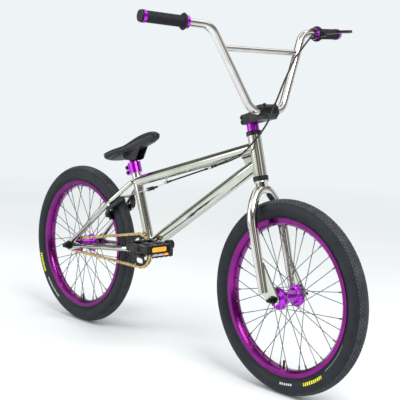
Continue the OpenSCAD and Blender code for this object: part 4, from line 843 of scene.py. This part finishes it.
def studio():
    """White room with dark and olive bands for the plating to mirror; plain pale where it is seen itself."""
    world = bpy.data.worlds.new("studio")
    bpy.context.scene.world = world
    world.use_nodes = True
    tree = world.node_tree
    where = tree.nodes.new("ShaderNodeTexCoord")
    split = tree.nodes.new("ShaderNodeSeparateXYZ")
    link(tree, where, "Generated", split, "Vector")
    spread = node(tree, "MapRange", From_Min=-1.0, From_Max=1.0)
    link(tree, split, "Z", spread, "Value")
    around = node(tree, "TexGradient", gradient_type="RADIAL")
    link(tree, where, "Generated", around, "Vector")
    white, grey, warm, dark = (1.0, 1.0, 0.98), (0.42, 0.42, 0.38), (0.30, 0.15, 0.08), (0.03, 0.03, 0.03)
    olive, dim, bright = (0.30, 0.31, 0.24), (0.22, 0.23, 0.22), (1.5, 1.5, 1.5)
    walls = ramp(tree, (0.0, olive), (0.045, olive), (0.055, dark), (0.075, dark), (0.09, white), (0.16, white),
                 (0.17, dark), (0.185, dark), (0.195, white), (0.27, white), (0.29, grey), (0.31, dark), (0.33, warm),
                 (0.36, grey), (0.39, (0.6, 0.6, 0.57)), (0.41, dark), (0.43, dim), (0.47, dim), (0.49, bright),
                 (0.51, bright), (0.525, dim), (0.64, grey), (0.66, dark), (0.69, white), (0.76, white), (0.78, dark),
                 (0.80, dark), (0.82, grey), (0.86, white), (0.89, white), (0.91, olive), (1.0, olive))
    link(tree, around, "Fac", walls, "Fac")
    roof = ramp(tree, (0.0, 0.0), (0.70, 0.0), (0.74, 1.0), (1.0, 1.0))
    link(tree, spread, "Result", roof, "Fac")
    ceiling = ramp(tree, (0.0, white), (0.74, (0.06, 0.06, 0.06)), (0.76, olive), (0.80, olive), (0.83, bright),
                   (0.93, bright), (0.95, (0.3, 0.3, 0.3)), (1.0, (0.9, 0.9, 0.9)))
    link(tree, spread, "Result", ceiling, "Fac")
    bands = node(tree, "Mix", data_type="RGBA")
    link(tree, roof, "Color", bands, 0)
    link(tree, walls, "Color", bands, 6)
    link(tree, ceiling, "Color", bands, 7)
    seen = tree.nodes.new("ShaderNodeLightPath")
    mix = node(tree, "Mix", data_type="RGBA")
    link(tree, seen, "Is Camera Ray", mix, 0)
    tree.links.new(bands.outputs[2], mix.inputs[6])
    mix.inputs[7].default_value = (0.86, 0.905, 0.925, 1)
    tree.links.new(mix.outputs[2], tree.nodes["Background"].inputs["Color"])
    tree.nodes["Background"].inputs["Strength"].default_value = 1.0


def floor():
    """Wide disc, dull and pale near the middle, turning to the room's own tone far out."""
    a = np.arange(96) * 2 * np.pi / 96
    r = np.array([0.0001, 1.5, 3, 6, 12, 40.0])
    grid = np.stack([r[:, None] * np.cos(a), r[:, None] * np.sin(a), np.full((6, 96), -0.0005)], -1)
    mesh = grid_mesh("floor", grid, round_v=True, caps=False, uv=False)
    finish, tree, shader, where = base_finish("pale_floor", (0.80, 0.83, 0.85), level=0.1)
    shader.inputs["Roughness"].default_value = 0.75
    tinted(tree, grain(tree, where, 1.2, 2), shader, (0.3, (0.77, 0.80, 0.82)), (0.7, (0.82, 0.85, 0.87)))
    reach = node(tree, "VectorMath", operation="LENGTH")
    link(tree, where, "Object", reach, 0)
    fade = node(tree, "MapRange", From_Min=1.6, From_Max=5.0)
    tree.links.new(reach.outputs["Value"], fade.inputs["Value"])
    glow = node(tree, "Emission", Color=(0.86, 0.905, 0.925, 1), Strength=1.0)
    mix = tree.nodes.new("ShaderNodeMixShader")
    link(tree, fade, "Result", mix, "Fac")
    link(tree, shader, "BSDF", mix, 1)
    link(tree, glow, "Emission", mix, 2)
    tree.links.new(mix.outputs[0], tree.nodes["Material Output"].inputs["Surface"])
    mesh.materials.append(finish)
    made = bpy.data.objects.new("floor", mesh)
    bpy.context.scene.collection.objects.link(made)


camera()
studio()
floor()
area_light("key", (2.2, -0.6, 2.9), (0, 0, 0.4), 1.6, 85)
area_light("fill", (-1.6, -2.6, 1.6), (0, 0, 0.4), 2.2, 40)
bpy.context.scene.view_settings.view_transform = "Standard"
